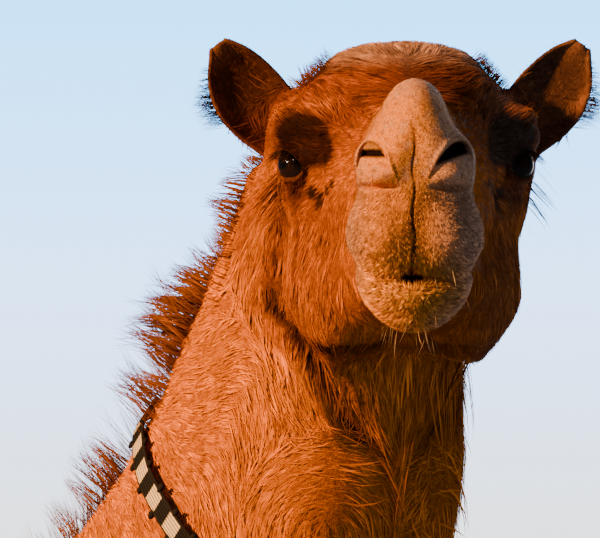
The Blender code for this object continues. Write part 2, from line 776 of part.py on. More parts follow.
def main():
    clear_scene()
    folder = bpy.data.collections.new("dromedary_camel")
    bpy.context.scene.collection.children.link(folder)
    neck_rows = neck_path()
    frame = head_frame(neck_rows)
    volumes = head_volumes()
    for mesh in volumes:
        mesh.transform(frame)
    cut_place = frame @ HEAD_CUT
    cut_normal = (frame.to_3x3() @ HEAD_CUT_NORMAL).normalized()

    nodes = head_nodes(frame, neck_rows, volumes, cut_place, cut_normal)
    nodes |= body_nodes(neck_rows, volumes, cut_place, cut_normal)
    for name, stride in STRIDE.items():
        nails = nail_meshes(name, stride, nodes[f"{name}_foot"])
        nodes[f"{name}_nail_a"], nodes[f"{name}_nail_b"] = nails
    nodes["collar"] = collar_mesh(neck_rows, nodes["neck"])

    everything = np.vstack([coordinates(mesh) for mesh in nodes.values()])
    low, high = everything.min(0), everything.max(0)
    shift = Vector((-(low[0] + high[0]) / 2, -(low[1] + high[1]) / 2, -low[2]))
    for name, mesh in nodes.items():
        mesh.transform(Matrix.Translation(shift))
        mesh.name = name
        mesh.shade_smooth()
        mesh.set_sharp_from_angle(angle=math.radians(50))
        mesh.materials.clear()
        mesh.materials.append(material(name, *finish_of(name)))
        add_object(name, mesh, folder)


main()
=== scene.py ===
import math

import bpy
import numpy as np
from mathutils import Matrix, Vector
from mathutils.bvhtree import BVHTree
from mathutils.kdtree import KDTree


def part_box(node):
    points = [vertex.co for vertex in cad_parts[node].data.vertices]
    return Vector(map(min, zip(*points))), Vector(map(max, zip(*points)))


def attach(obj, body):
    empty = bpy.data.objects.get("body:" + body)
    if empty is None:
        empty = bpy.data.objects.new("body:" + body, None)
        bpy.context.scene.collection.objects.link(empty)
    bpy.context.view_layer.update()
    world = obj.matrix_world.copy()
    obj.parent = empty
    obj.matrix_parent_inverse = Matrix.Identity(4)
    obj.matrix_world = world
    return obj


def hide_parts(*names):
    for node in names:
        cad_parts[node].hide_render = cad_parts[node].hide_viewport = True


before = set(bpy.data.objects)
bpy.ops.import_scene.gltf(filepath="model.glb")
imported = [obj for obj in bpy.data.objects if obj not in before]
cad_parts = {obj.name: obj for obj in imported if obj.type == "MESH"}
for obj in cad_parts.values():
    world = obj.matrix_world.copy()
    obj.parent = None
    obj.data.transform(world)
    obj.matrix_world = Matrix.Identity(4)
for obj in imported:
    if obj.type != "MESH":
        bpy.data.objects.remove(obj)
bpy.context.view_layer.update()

chance = np.random.default_rng(7)
quickShare = 1.0


# small helpers
def only(obj):
    bpy.ops.object.select_all(action="DESELECT")
    obj.select_set(True)
    bpy.context.view_layer.objects.active = obj


def applied(obj, kind, **settings):
    modifier = obj.modifiers.new(kind, kind)
    for key, value in settings.items():
        setattr(modifier, key, value)
    only(obj)
    bpy.ops.object.modifier_apply(modifier=modifier.name)
    return obj


def editing(obj, faces=None):
    # edit mode with these faces selected, or everything
    only(obj)
    bpy.ops.object.mode_set(mode="EDIT")
    bpy.ops.mesh.select_mode(type="FACE")
    bpy.ops.mesh.select_all(action="SELECT" if faces is None else "DESELECT")
    if faces is not None:
        bpy.ops.object.mode_set(mode="OBJECT")
        obj.data.polygons.foreach_set("select", faces)
        bpy.ops.object.mode_set(mode="EDIT")


def done():
    bpy.ops.object.mode_set(mode="OBJECT")


def nodeCopy(names, title):
    # one object from copies of these nodes, their loose triangles merged
    copies = []
    for name in names:
        copy = bpy.data.objects.new(title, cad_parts[name].data.copy())
        bpy.context.collection.objects.link(copy)
        copies.append(copy)
    only(copies[0])
    for copy in copies:
        copy.select_set(True)
    bpy.ops.object.join()
    editing(copies[0])
    bpy.ops.mesh.remove_doubles(threshold=0.00002)
    done()
    copies[0].data.materials.clear()
    return copies[0]


def pointsOf(mesh, what="co"):
    flat = np.empty(len(mesh.vertices) * 3)
    if what == "co":
        mesh.vertices.foreach_get("co", flat)
    else:
        mesh.vertex_normals.foreach_get("vector", flat)
    return flat.reshape(-1, 3)


def setPoints(mesh, points):
    mesh.vertices.foreach_set("co", points.astype(np.float32).ravel())
    mesh.update()


def faceMiddles(mesh):
    flat = np.empty(len(mesh.polygons) * 3)
    mesh.polygons.foreach_get("center", flat)
    return flat.reshape(-1, 3)


def storeColors(mesh, name, colors):
    mesh.attributes.new(name, "FLOAT_COLOR", "POINT").data.foreach_set(
        "color", colors.astype(np.float32).ravel()
    )


def smoothstep(value, low, high):
    share = np.clip((value - low) / (high - low), 0, 1)
    return share * share * (3 - 2 * share)


def near(points, middle, radii):
    # 1 at the middle, down to 0 at the edge of the ellipsoid
    reach = np.linalg.norm((points - np.array(middle)) / np.array(radii), axis=1)
    return np.clip(1 - reach**2, 0, 1) ** 2


def unit(vectors):
    return vectors / np.maximum(np.linalg.norm(vectors, axis=1, keepdims=True), 1e-9)


def alongLine(points, line):
    # distance to a run of straight pieces, and each point's nearest place on it
    best, spot = np.full(len(points), np.inf), np.zeros((len(points), 3))
    for start, end in zip(line, line[1:]):
        a, d = np.array(start), np.array(end) - np.array(start)
        share = np.clip(((points - a) @ d) / (d @ d), 0, 1)
        foot = a + share[:, None] * d
        gap = np.linalg.norm(points - foot, axis=1)
        closer = gap < best
        best[closer], spot[closer] = gap[closer], foot[closer]
    return best, spot


def waves(points, length, seed, count=5):
    # a smooth wandering value from about -1 to 1, as waves of about this length
    draws = np.random.default_rng(seed)
    total = np.zeros(len(points))
    for _ in range(count):
        direction = draws.normal(size=3)
        direction /= np.linalg.norm(direction)
        pace = 2 * math.pi / (length * draws.uniform(0.7, 1.5))
        total += np.sin(points @ direction * pace + draws.uniform(0, 2 * math.pi))
    return total / math.sqrt(count)


# the head's own frame: (aside to the camel's left, ahead, up), from half way between the eyes
headPlace = {"dip": 9.4, "eyesAhead": 0.008}


def middleOf(node):
    low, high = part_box(node)
    return (low + high) / 2


def findHeadFrame():
    across = middleOf("eye_left") - middleOf("eye_right")
    turn = Matrix.Rotation(math.atan2(across.y, across.x), 4, "Z")
    made = turn @ Matrix.Rotation(math.radians(headPlace["dip"]), 4, "X")
    between = (middleOf("eye_left") + middleOf("eye_right")) / 2
    made.translation = between + made.to_3x3() @ Vector((0, headPlace["eyesAhead"], 0))
    return made


headFrame = findHeadFrame()
headTurn = np.array(headFrame.to_3x3())
headSpot = np.array(headFrame.translation)


def toHead(points):
    return ((points - headSpot) @ headTurn) * (1, -1, 1)


def fromHead(places):
    return (np.array(places, float) * (1, -1, 1)) @ headTurn.T + headSpot


def turnFromHead(vectors):
    return (np.array(vectors, float) * (1, -1, 1)) @ headTurn.T


# camera, lights, floor
view = {"turn": 55.0, "tilt": 8.0, "distance": 2.2, "aside": -0.0966, "above": -0.0957, "lens": 143.5}
# toward each lamp from the head: to the camera's right, towards the camera, up
lamps = {
    "low_sun": {"from": (-0.84, 0.46, 0.36), "angle": 5, "power": 10.5, "color": (1.0, 0.57, 0.22)},
    "flank": {"from": (0.30, -1.0, 0.40), "angle": 40, "power": 1.4, "color": (0.90, 0.92, 1.0)},
    "glint": {"from": (-0.73, 0.65, 0.22), "angle": 10, "power": 16, "color": (1.0, 0.92, 0.84)},
}
sky = {
    "light": (0.62, 0.78, 1.0),
    "strength": 0.27,
    "shades": ((0.03, (0.40, 0.41, 0.43)), (0.13, (0.30, 0.50, 0.84)), (0.25, (0.07, 0.47, 1.0))),
    "shown": 6.0,
}


def makeCamera():
    turn, tilt = math.radians(view["turn"]), math.radians(view["tilt"])
    back = Vector((-math.sin(turn) * math.cos(tilt), -math.cos(turn) * math.cos(tilt), -math.sin(tilt)))
    right = Vector((math.cos(turn), -math.sin(turn), 0))
    up = back.cross(right)
    camera = bpy.data.objects.new("Camera", bpy.data.cameras.new("Camera"))
    bpy.context.collection.objects.link(camera)
    placed = Matrix((right, up, back)).transposed().to_4x4()
    placed.translation = (
        headFrame.translation + right * view["aside"] + up * view["above"] + back * view["distance"]
    )
    camera.matrix_world = placed
    camera.data.lens = view["lens"]
    camera.data.clip_end = 300
    bpy.context.scene.camera = camera
    return right, Vector((back.x, back.y, 0)).normalized()


def makeLights(right, back):
    for name, lamp in lamps.items():
        made = bpy.data.objects.new(name, bpy.data.lights.new(name, "SUN"))
        bpy.context.collection.objects.link(made)
        aside, ahead, above = lamp["from"]
        toward = right * aside + back * ahead + Vector((0, 0, above))
        made.data.angle, made.data.energy = math.radians(lamp["angle"]), lamp["power"]
        made.data.color = lamp["color"]
        made.matrix_world = toward.to_track_quat("Z", "Y").to_matrix().to_4x4()


def makeSky():
    # the lens sees a pale gradient, and the light from it is plain and soft
    world = bpy.data.worlds.new("Sky")
    bpy.context.scene.world = world
    world.use_nodes = True
    tree = world.node_tree
    tree.nodes.clear()
    place = tree.nodes.new("ShaderNodeTexCoord")
    split = tree.nodes.new("ShaderNodeSeparateXYZ")
    ramp = tree.nodes.new("ShaderNodeValToRGB")
    shown, lit = (tree.nodes.new("ShaderNodeBackground") for _ in range(2))
    path, mix = tree.nodes.new("ShaderNodeLightPath"), tree.nodes.new("ShaderNodeMixShader")
    out = tree.nodes.new("ShaderNodeOutputWorld")
    ramp.color_ramp.elements.new(0.5)
    for stop, (at, shade) in zip(ramp.color_ramp.elements, sky["shades"]):
        stop.position, stop.color = at, (*shade, 1)
    shown.inputs["Strength"].default_value = sky["shown"]
    lit.inputs["Color"].default_value = (*sky["light"], 1)
    lit.inputs["Strength"].default_value = sky["strength"]
    for source, target in (
        (place.outputs["Generated"], split.inputs[0]),
        (split.outputs["Z"], ramp.inputs[0]),
        (ramp.outputs[0], shown.inputs["Color"]),
        (path.outputs["Is Camera Ray"], mix.inputs[0]),
        (lit.outputs[0], mix.inputs[1]),
        (shown.outputs[0], mix.inputs[2]),
        (mix.outputs[0], out.inputs["Surface"]),
    ):
        tree.links.new(source, target)


def makeFloor():
    # lit by the sky and the flank lamp: the low sun shines over it
    bpy.ops.object.select_all(action="DESELECT")
    bpy.ops.mesh.primitive_plane_add(size=120, location=(0, 0, -0.0005))
    floor = bpy.context.object
    floor.name = "floor"
    pale = bpy.data.materials.new("pale_floor")
    pale.use_nodes = True
    shader = pale.node_tree.nodes["Principled BSDF"]
    shader.inputs["Base Color"].default_value = (0.86, 0.87, 0.88, 1)
    shader.inputs["Roughness"].default_value = 0.9
    floor.data.materials.append(pale)
    unlit = bpy.data.collections.new("unlit")
    unlit.objects.link(floor)
    unlit.collection_objects[0].light_linking.link_state = "EXCLUDE"
    bpy.data.objects["low_sun"].light_linking.receiver_collection = unlit


makeLights(*makeCamera())
makeSky()
makeFloor()
print("camera, lights and floor placed")


# materials
class Wire:
    # a node's output, with the sums that the finishes use
    def __init__(self, finish, socket):
        self.finish, self.socket = finish, socket

    def sum(self, kind, other):
        return self.finish.node("ShaderNodeMath", {"operation": kind}, {0: self, 1: other})

    def __add__(self, other):
        return self.sum("ADD", other)

    def __mul__(self, other):
        return self.sum("MULTIPLY", other)

    __radd__, __rmul__ = __add__, __mul__


class Finish:
    # one material and its nodes
    def __init__(self, name, roughness=0.7, **fixed):
        self.material = bpy.data.materials.new(name)
        self.material.use_nodes = True
        self.tree = self.material.node_tree
        self.shader = self.tree.nodes["Principled BSDF"]
        self.shader.inputs["Roughness"].default_value = roughness
        for key, value in fixed.items():
            self.shader.inputs[key.replace("_", " ")].default_value = value

    def node(self, kind, settings=None, values=None, out=0):
        made = self.tree.nodes.new(kind)
        for key, value in (settings or {}).items():
            if key == "stops":
                for stop, (place, shade) in zip(made.color_ramp.elements, value):
                    stop.position, stop.color = place, (*shade, 1)
            else:
                setattr(made, key, value)
        for key, value in (values or {}).items():
            self.plug(made.inputs[key], value)
        return Wire(self, made.outputs[out])

    def plug(self, socket, value):
        if isinstance(value, Wire):
            self.tree.links.new(value.socket, socket)
        elif isinstance(value, tuple) and len(value) == 3 and socket.type == "RGBA":
            socket.default_value = (*value, 1)
        else:
            socket.default_value = value

    def mix(self, share, first, second, blend="MIX"):
        kinds = {"data_type": "RGBA", "blend_type": blend, "clamp_factor": True}
        return self.node("ShaderNodeMix", kinds, {0: share, 6: first, 7: second}, 2)

    def grey(self, value):
        return self.node("ShaderNodeCombineColor", None, {0: value, 1: value, 2: value})

    def parts(self, color):
        split = self.node("ShaderNodeSeparateColor", None, {0: color}).socket.node
        return [Wire(self, split.outputs[slot]) for slot in range(3)]

    def places(self):
        return self.node("ShaderNodeTexCoord", out="Object")

    def stored(self, name, out="Color"):
        return self.node("ShaderNodeAttribute", {"attribute_name": name}, out=out)

    def noise(self, size, detail=3.0):
        values = {"Vector": self.places(), "Scale": 1 / size, "Detail": detail, "Roughness": 0.55}
        return self.node("ShaderNodeTexNoise", None, values)

    def sine(self, value):
        return self.node("ShaderNodeMath", {"operation": "SINE"}, {0: value})

    def ramp(self, value, *stops):
        return self.node("ShaderNodeValToRGB", {"stops": stops}, {0: value})

    def between(self, value, low, high):
        values = {"Value": value, "From Min": low, "From Max": high, "To Min": 0.0, "To Max": 1.0}
        return self.node("ShaderNodeMapRange", {"interpolation_type": "SMOOTHSTEP"}, values)

    def bump(self, height, depth, strength):
        values = {"Height": height, "Distance": depth, "Strength": strength}
        return self.node("ShaderNodeBump", None, values)

    def give(self, **wires):
        for key, value in wires.items():
            self.plug(self.shader.inputs[key.replace("_", " ")], value)
        return self.material


# skin: the flesh nodes as one surface
flesh = [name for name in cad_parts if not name.startswith(("eye", "collar")) and "nail" not in name]
skinBuild = {
    "fineVoxel": 0.0048,
    "coarseVoxel": 0.0200,
    "closeGaps": 0.0015,
    "fineRounds": 20,
    "coarseRounds": 8,
    "joinAt": 0.42,  # share of the way from the collar to the head
    "joinGap": 0.016,
}
# depth of the coat, by which the skin lies inside the outline
coatDepth = {
    "face": 0.0030,
    "muzzle": 0.0008,
    "lips": 0.0016,
    "crown": 0.0045,
    "neck": 0.010,
    "crest": 0.020,
    "body": 0.009,
    "legs": 0.0045,
    "foot": 0.0018,
}
muzzleAside = -0.0085  # the muzzle's middle line lies to the camel's right
muzzleSpan = (0.06, 0.27)  # where it drifts there, ahead of the eyes
mouthHole = (muzzleAside, 0.28, -0.0965)


def middleLine(head):
    return muzzleAside * smoothstep(head[:, 1], *muzzleSpan)


# ears: cupped leaves, open to the front, and which way they stand on the head
earShape = {
    "length": 0.104,
    "base": (0.113, -0.092, 0.034),
    "lean": 36,
    "arc": 1.35,
    "wall": 0.0040,
    "shares": (-0.20, 0.00, 0.20, 0.45, 0.70, 0.88, 0.95, 1.00),
    "widths": (0.024, 0.030, 0.034, 0.035, 0.029, 0.0185, 0.0120, 0.0050),
    "cups": (0.028, 0.027, 0.025, 0.022, 0.017, 0.010, 0.005, 0.001),
    "shifts": (0.000, 0.001, 0.004, 0.006, 0.005, 0.002, 0.001, 0.001),
}


def inEar(head):
    # each place along, across and behind the ear of its side
    lean = math.radians(earShape["lean"])
    x, ahead, up = earShape["base"]
    aside, rise = np.abs(head[:, 0]) - x, head[:, 2] - up
    along = aside * math.sin(lean) + rise * math.cos(lean)
    across = aside * math.cos(lean) - rise * math.sin(lean)
    return along, across, ahead - head[:, 1]


# where the regions of the body end: single heights, or where one fades into the next
regions = {
    "middle": 0.045,  # the body's middle line, aside
    "headAbove": 1.75,
    "neckAbove": 1.2,
    "neckBase": (-0.66, -0.40),
    "legs": (0.80, 1.12),
    "feet": (0.09, 0.18),
    "tail": (1.13, 1.19),
    "tailAbove": 0.75,
    "nape": (0, -0.205, -0.040),
    "napeSlope": (0, -0.75, -0.66),
}


def regionShares(points):
    # how far each place belongs to each region of the body
    head = toHead(points)
    behind = (head - regions["nape"]) @ np.array(regions["napeSlope"])
    onHead = smoothstep(-behind, -0.02, 0.06) * (points[:, 2] > regions["headAbove"])
    muzzle = onHead * smoothstep(head[:, 1] - 0.25 * np.abs(head[:, 2] + 0.03), 0.155, 0.205)
    nose = muzzle * smoothstep(head[:, 2], -0.030, -0.018)
    along, across, depth = inEar(head)
    ears = smoothstep(along, 0.030, 0.048) * (np.abs(across) < 0.048) * (depth > -0.014) * (depth < 0.045)
    tail = smoothstep(points[:, 1], *regions["tail"]) * (points[:, 2] > regions["tailAbove"])
    tail *= np.abs(points[:, 0] - regions["middle"]) < 0.06
    legs = 1 - smoothstep(points[:, 2], *regions["legs"])
    legs = np.maximum(legs * (1 - tail), tail * 0.7)
    feet = 1 - smoothstep(points[:, 2], *regions["feet"])
    neck = (1 - onHead) * (1 - smoothstep(points[:, 1], *regions["neckBase"]))
    neck *= points[:, 2] > regions["neckAbove"]
    return {
        "inHead": head,
        "head": onHead,
        "muzzle": muzzle,
        "nose": nose,
        "ears": ears * onHead,
        "legs": legs,
        "feet": feet,
        "tail": tail,
        "neck": neck,
    }


# the neck's run, from the nape to its base, and which way is up out of its bend
spine = [
    fromHead([(0, -0.14, -0.03)])[0],
    np.array(middleOf("collar")),
    np.array((regions["middle"], -0.20, 1.46)),
]
bendUp = np.array((0, -0.45, 0.9))


def neckSides(places):
    # which way is down the neck and toward its crest, and how near the crest (1) or throat (-1)
    _, foot = alongLine(places, spine)
    high = places @ bendUp
    bend = float(spine[1] @ bendUp)
    upper, lower = spine[1] - spine[0], spine[2] - spine[1]
    share = smoothstep(high, bend - 0.15, bend + 0.15)[:, None]
    down = unit(share * upper / np.linalg.norm(upper) + (1 - share) * lower / np.linalg.norm(lower))
    crest = unit(np.array((0, 0, 1.0)) - down * down[:, 2:3])
    return down, crest, (unit(places - foot) * crest).sum(1)


def depthOf(points):
    share = regionShares(points)
    head = share["inHead"]
    depth = np.full(len(points), coatDepth["body"])
    _, _, crestness = neckSides(points)
    neck = coatDepth["neck"] + (coatDepth["crest"] - coatDepth["neck"]) * smoothstep(crestness, 0.80, 0.97)
    depth += (neck - depth) * smoothstep(points[:, 2], 1.55, 1.75) * (points[:, 1] < -0.3)
    depth += (coatDepth["legs"] - depth) * share["legs"]
    depth += (coatDepth["foot"] - depth) * share["feet"]
    face = coatDepth["face"] + (coatDepth["crown"] - coatDepth["face"]) * smoothstep(head[:, 2], 0.06, 0.11)
    depth += (face - depth) * share["head"]
    depth += (coatDepth["lips"] - depth) * share["muzzle"]
    depth += (coatDepth["muzzle"] - depth) * share["nose"]
    return depth * smoothstep(points[:, 2], 0.0, 0.02)


def softened(mesh, rounds, amount=0.55, back=-0.57):
    # smooths without shrinking: each round goes in and comes most of the way back
    points = pointsOf(mesh)
    pairs = np.empty(len(mesh.edges) * 2, np.int32)
    mesh.edges.foreach_get("vertices", pairs)
    first, second = pairs.reshape(-1, 2).T
    ends = np.concatenate([first, second])
    others = np.concatenate([second, first])
    count = np.maximum(np.bincount(ends, minlength=len(points)), 1)
    for step in range(2 * rounds):
        middle = np.stack(
            [np.bincount(ends, points[others, axis], len(points)) / count for axis in range(3)], 1
        )
        points += (middle - points) * (back if step % 2 else amount)
    setPoints(mesh, points)


def cutAway(obj, place, normal, inner):
    editing(obj)
    sides = {"clear_inner": inner, "clear_outer": not inner}
    bpy.ops.mesh.bisect(plane_co=place, plane_no=normal, threshold=1e-6, **sides)
    done()


def remeshed(names, title, voxel, rounds):
    obj = nodeCopy(names, title)
    applied(obj, "DISPLACE", mid_level=0.0, strength=skinBuild["closeGaps"])
    applied(obj, "REMESH", mode="VOXEL", voxel_size=voxel)
    softened(obj.data, rounds)
    return obj


def sinkCoat(mesh):
    points, normals = pointsOf(mesh), pointsOf(mesh, "normal")
    depth = depthOf(points) + skinBuild["closeGaps"]
    setPoints(mesh, points - normals * depth[:, None])


def refine(obj, inside):
    # splits the faces whose middle is inside
    faces = inside(faceMiddles(obj.data))
    editing(obj, faces)
    bpy.ops.mesh.subdivide(number_cuts=1, ngon=False)
    bpy.ops.mesh.select_all(action="SELECT")
    done()


# brushes on the head, each mirrored where its middle isn't on the middle line: middle, radii,
# push and how hard its edge is, from 0 for a soft dent to 1 for a steep wall
brushes = {
    "domeSide": ((0.036, 0.215, 0.050), (0.016, 0.060, 0.030), (-0.002, 0, 0), 0),
    "domeBack": ((0.030, 0.180, 0.064), (0.030, 0.030, 0.026), (0, 0, -0.003), 0),
    "nostrilWing": ((0.0400, 0.270, 0.0060), (0.0180, 0.036, 0.024), (0.0030, 0.0030, 0), 0),
    "flapCrease": ((0.0320, 0.285, -0.0235), (0.0280, 0.034, 0.0042), (-0.001, -0.0065, 0), 0.5),
    "wingCrease": ((0.0530, 0.240, -0.0080), (0.0090, 0.018, 0.026), (-0.004, -0.001, 0), 0),
    "noseGroove": ((0.0, 0.305, 0.0000), (0.0014, 0.030, 0.020), (0, -0.0012, 0), 0.4),
    "nosePad": ((0.012, 0.300, 0.0100), (0.0120, 0.030, 0.026), (0, 0.0014, 0), 0),
    "lipFill": ((0.0, 0.312, -0.0600), (0.0170, 0.040, 0.046), (0, 0.0034, 0), 0),
    "lipCleft": ((0.0, 0.312, -0.0560), (0.0018, 0.040, 0.043), (0, -0.0060, 0), 0.5),
    "cleftFoot": ((0.0, 0.308, -0.0910), (0.0080, 0.040, 0.010), (0, -0.0120, 0), 0.3),
    "lipLobe": ((0.0250, 0.290, -0.0620), (0.0240, 0.040, 0.034), (0.001, 0.0026, 0), 0),
    "mouthHole": ((0.0, 0.300, -0.0975), (0.0105, 0.040, 0.0052), (0, -0.026, 0), 0.7),
    "mouthSlit": ((0.0240, 0.290, -0.0970), (0.0300, 0.034, 0.0034), (0, -0.0050, 0), 0.3),
    "mouthCorner": ((0.0500, 0.250, -0.0920), (0.0140, 0.044, 0.0050), (-0.004, -0.002, 0), 0.3),
    "lowerLip": ((0.0, 0.290, -0.1100), (0.0400, 0.034, 0.0110), (0, 0.0045, 0), 0),
    "chinDimple": ((0.0, 0.285, -0.1260), (0.0300, 0.030, 0.0070), (0, -0.0020, 0), 0),
    "browRidge": ((0.1120, 0.020, 0.0480), (0.0320, 0.050, 0.0140), (0.0055, 0.0055, 0.001), 0),
    "browCorner": ((0.1240, 0.010, 0.0200), (0.0160, 0.030, 0.0160), (0.0040, 0.0020, 0), 0),
    "browHollow": ((0.0940, 0.058, 0.0230), (0.0280, 0.044, 0.0210), (-0.009, -0.006, 0), 0),
    "underEye": ((0.1040, 0.034, -0.0260), (0.0220, 0.030, 0.0110), (-0.003, 0, 0), 0),
    "cheekBone": ((0.0950, 0.062, -0.0460), (0.0180, 0.070, 0.0140), (0.004, 0, 0), 0),
    "jawHollow": ((0.0620, 0.110, -0.1100), (0.0300, 0.060, 0.0260), (-0.006, 0, 0), 0),
    "tearDuct": ((0.0820, 0.068, -0.0320), (0.0080, 0.014, 0.0120), (-0.0035, -0.001, 0), 0.2),
}
# one more that fills out the neck under the jaws
neckBrush = ((0.0520, -0.112, -0.3650), (0.0850, 0.100, 0.2300), (0.0300, 0.0040, 0), 0)
# folds: places on each one's line, its width and depth, and the axis along which it is laid on
folds = {
    "cheek": {
        "line": (
            (0.104, 0.013, -0.032),
            (0.102, 0.010, -0.069),
            (0.101, 0.018, -0.105),
            (0.097, 0.010, -0.137),
        ),
        "width": 0.0075,
        "depth": 0.0055,
        "axis": 0,
    },
    "jaw": {
        "line": (
            (0.120, -0.034, -0.023),
            (0.122, -0.064, -0.060),
            (0.121, -0.061, -0.098),
            (0.113, -0.050, -0.136),
        ),
        "width": 0.0110,
        "depth": 0.0095,
        "axis": 0,
    },
    "throat": {
        "line": (
            (0.124, -0.062, -0.127),
            (0.101, -0.040, -0.159),
            (0.077, -0.037, -0.196),
            (0.054, -0.038, -0.234),
            (0.021, -0.046, -0.267),
        ),
        "width": 0.0130,
        "depth": 0.0080,
        "axis": 1,
    },
    "lobe": {
        "line": (
            (0.090, -0.003, -0.163),
            (0.069, 0.021, -0.170),
            (0.033, 0.019, -0.168),
            (0.019, 0.024, -0.161),
        ),
        "width": 0.0056,
        "depth": 0.0030,
        "axis": 1,
    },
}


def foldGap(head, fold, side):
    # distance to the fold on this side of the head, seen along its axis
    seen = np.ones(3)
    seen[fold["axis"]] = 0
    gap, _ = alongLine(head * seen, [(side * x, ahead, up) * seen for x, ahead, up in fold["line"]])
    inner = 0.055 if fold["axis"] == 0 else -0.005
    return np.where((head[:, 0] * side > inner) & (head[:, 1] > -0.13), gap, 1.0)


# nostrils: an arched roof over a slit, and a soft flap that fills the rest of the opening.
# The camel's left one stands open wider: the values named wide are added on that side
nostril = {
    "middle": 0.0336,
    "top": 0.0150,
    "innerCurve": 92.0,
    "outerCurve": 230.0,
    "flapTop": 0.0010,
    "flapRise": 0.05,
    "depth": 0.010,
    "roofBack": 0.0042,
    "flapBack": 0.0046,
    "rim": 0.0018,
    "wideAside": 0.0055,
    "wideFlatter": 0.55,
    "wideRise": 0.30,
    "wideTop": 0.0010,
    "wideShallow": 0.45,
}


def nostrilShares(head):
    # how much of each place is slit, the inner wall over it, flap and rim
    aside = np.abs(head[:, 0] - middleLine(head))
    wide = smoothstep(head[:, 0] - middleLine(head), 0.0, 0.004)
    off = aside - nostril["middle"] - nostril["wideAside"] * wide
    innerCurve = nostril["innerCurve"] * (1 - nostril["wideFlatter"] * wide)
    curve = np.where(off < 0, innerCurve, nostril["outerCurve"])
    under = nostril["top"] - curve * off**2 - head[:, 2]
    ahead = smoothstep(head[:, 1], 0.225, 0.245)
    span = smoothstep(aside, 0.010, 0.019) * (1 - smoothstep(aside, 0.043, 0.050)) * ahead
    above = smoothstep(head[:, 2], -0.024, -0.016)
    gap = smoothstep(under, 0.0002, 0.0030)
    slope = nostril["flapRise"] + nostril["wideRise"] * wide
    below = nostril["flapTop"] + nostril["wideTop"] * wide + slope * off - head[:, 2]
    shut = smoothstep(below, -0.0028, 0.0020)
    high = smoothstep(head[:, 2], nostril["flapTop"] + 0.0035, nostril["flapTop"] + 0.0075) * (1 - wide)
    inner = gap * (1 - shut) * span
    slit, roof = inner * (1 - high), inner * high
    flap = gap * shut * above * smoothstep(aside, 0.008, 0.014) * ahead
    flap *= (1 - 1.2 * smoothstep(below, 0.002, 0.015)) * (1 - nostril["wideShallow"] * wide)
    rim = np.exp(-(((under + 0.0030) / 0.0032) ** 2)) * span
    return slit, roof, flap, rim


def carveNostrils(head):
    slit, roof, flap, rim = nostrilShares(head)
    back = nostril["depth"] * slit + nostril["roofBack"] * roof + nostril["flapBack"] * flap
    back -= nostril["rim"] * rim
    head[:, 1] -= back
    head[:, 0] -= np.sign(head[:, 0] - middleLine(head)) * back * 0.25


def brushed(head, brush):
    # moves these places by the brush
    (x, ahead, up), radii, (pushX, pushAhead, pushUp), hard = brush
    for side in (1, -1) if x else (1,):
        reach = np.linalg.norm((head - (side * x, ahead, up)) / np.array(radii), axis=1)
        soft = np.clip(1 - reach**2, 0, 1) ** 2
        share = soft + (smoothstep(1 - reach, 0, 0.55) - soft) * hard
        head += share[:, None] * np.array((side * pushX, pushAhead, pushUp))


def brushNeck(mesh):
    head = toHead(pointsOf(mesh))
    brushed(head, neckBrush)
    setPoints(mesh, fromHead(head))


def crooked(head):
    # how far the groove down the nose and lip wanders from its middle line
    return 0.0011 * np.sin(head[:, 2] * 170)


def brushHead(mesh):
    head = toHead(pointsOf(mesh))
    carveNostrils(head)
    drift = middleLine(head) + crooked(head)
    head[:, 0] -= drift
    for brush in brushes.values():
        brushed(head, brush)
    head[:, 0] += drift
    points = fromHead(head)
    normals = pointsOf(mesh, "normal")
    for fold in folds.values():
        for side in (1, -1):
            gap = foldGap(head, fold, side) / fold["width"]
            share = np.exp(-((gap * 1.6) ** 2)) - 0.35 * np.exp(-(((gap - 1.3) * 2.2) ** 2))
            points -= normals * (fold["depth"] * share)[:, None]
    setPoints(mesh, points)


# eyes: a ball in each socket behind two lids
eyeShape = {
    "radius": 0.0225,
    "lid": 0.0020,
    "halfWidth": 0.0178,
    "above": 0.0114,
    "below": 0.0098,
    "tilt": 8,
    "aim": 34,
    "blend": 1.55,
}
eyeSides = {"eye_left": 1, "eye_right": -1}


def eyeAxes(side):
    # outward, forward and up directions of the eye on this side
    aim, tilt = math.radians(eyeShape["aim"]), math.radians(eyeShape["tilt"])
    out = np.array((side * math.cos(aim), math.sin(aim), 0.0))
    along = np.array((-side * math.sin(aim), math.cos(aim), 0.0))
    up = np.array((0.0, 0.0, 1.0))
    along, up = along * math.cos(tilt) - up * math.sin(tilt), up * math.cos(tilt) + along * math.sin(tilt)
    return [turnFromHead([vector])[0] for vector in (out, along, up)]


def lidRing(points, node, side):
    # each place in the opening's own units, 1 on the lids' edge, with its parts
    out, along, up = eyeAxes(side)
    offset = points - np.array(middleOf(node))
    outward, forward, rise = offset @ out, offset @ along, offset @ up
    height = np.where(rise > 0, eyeShape["above"], eyeShape["below"])
    ring = np.sqrt((forward / eyeShape["halfWidth"]) ** 2 + (rise / height) ** 2)
    return ring, outward, forward, rise


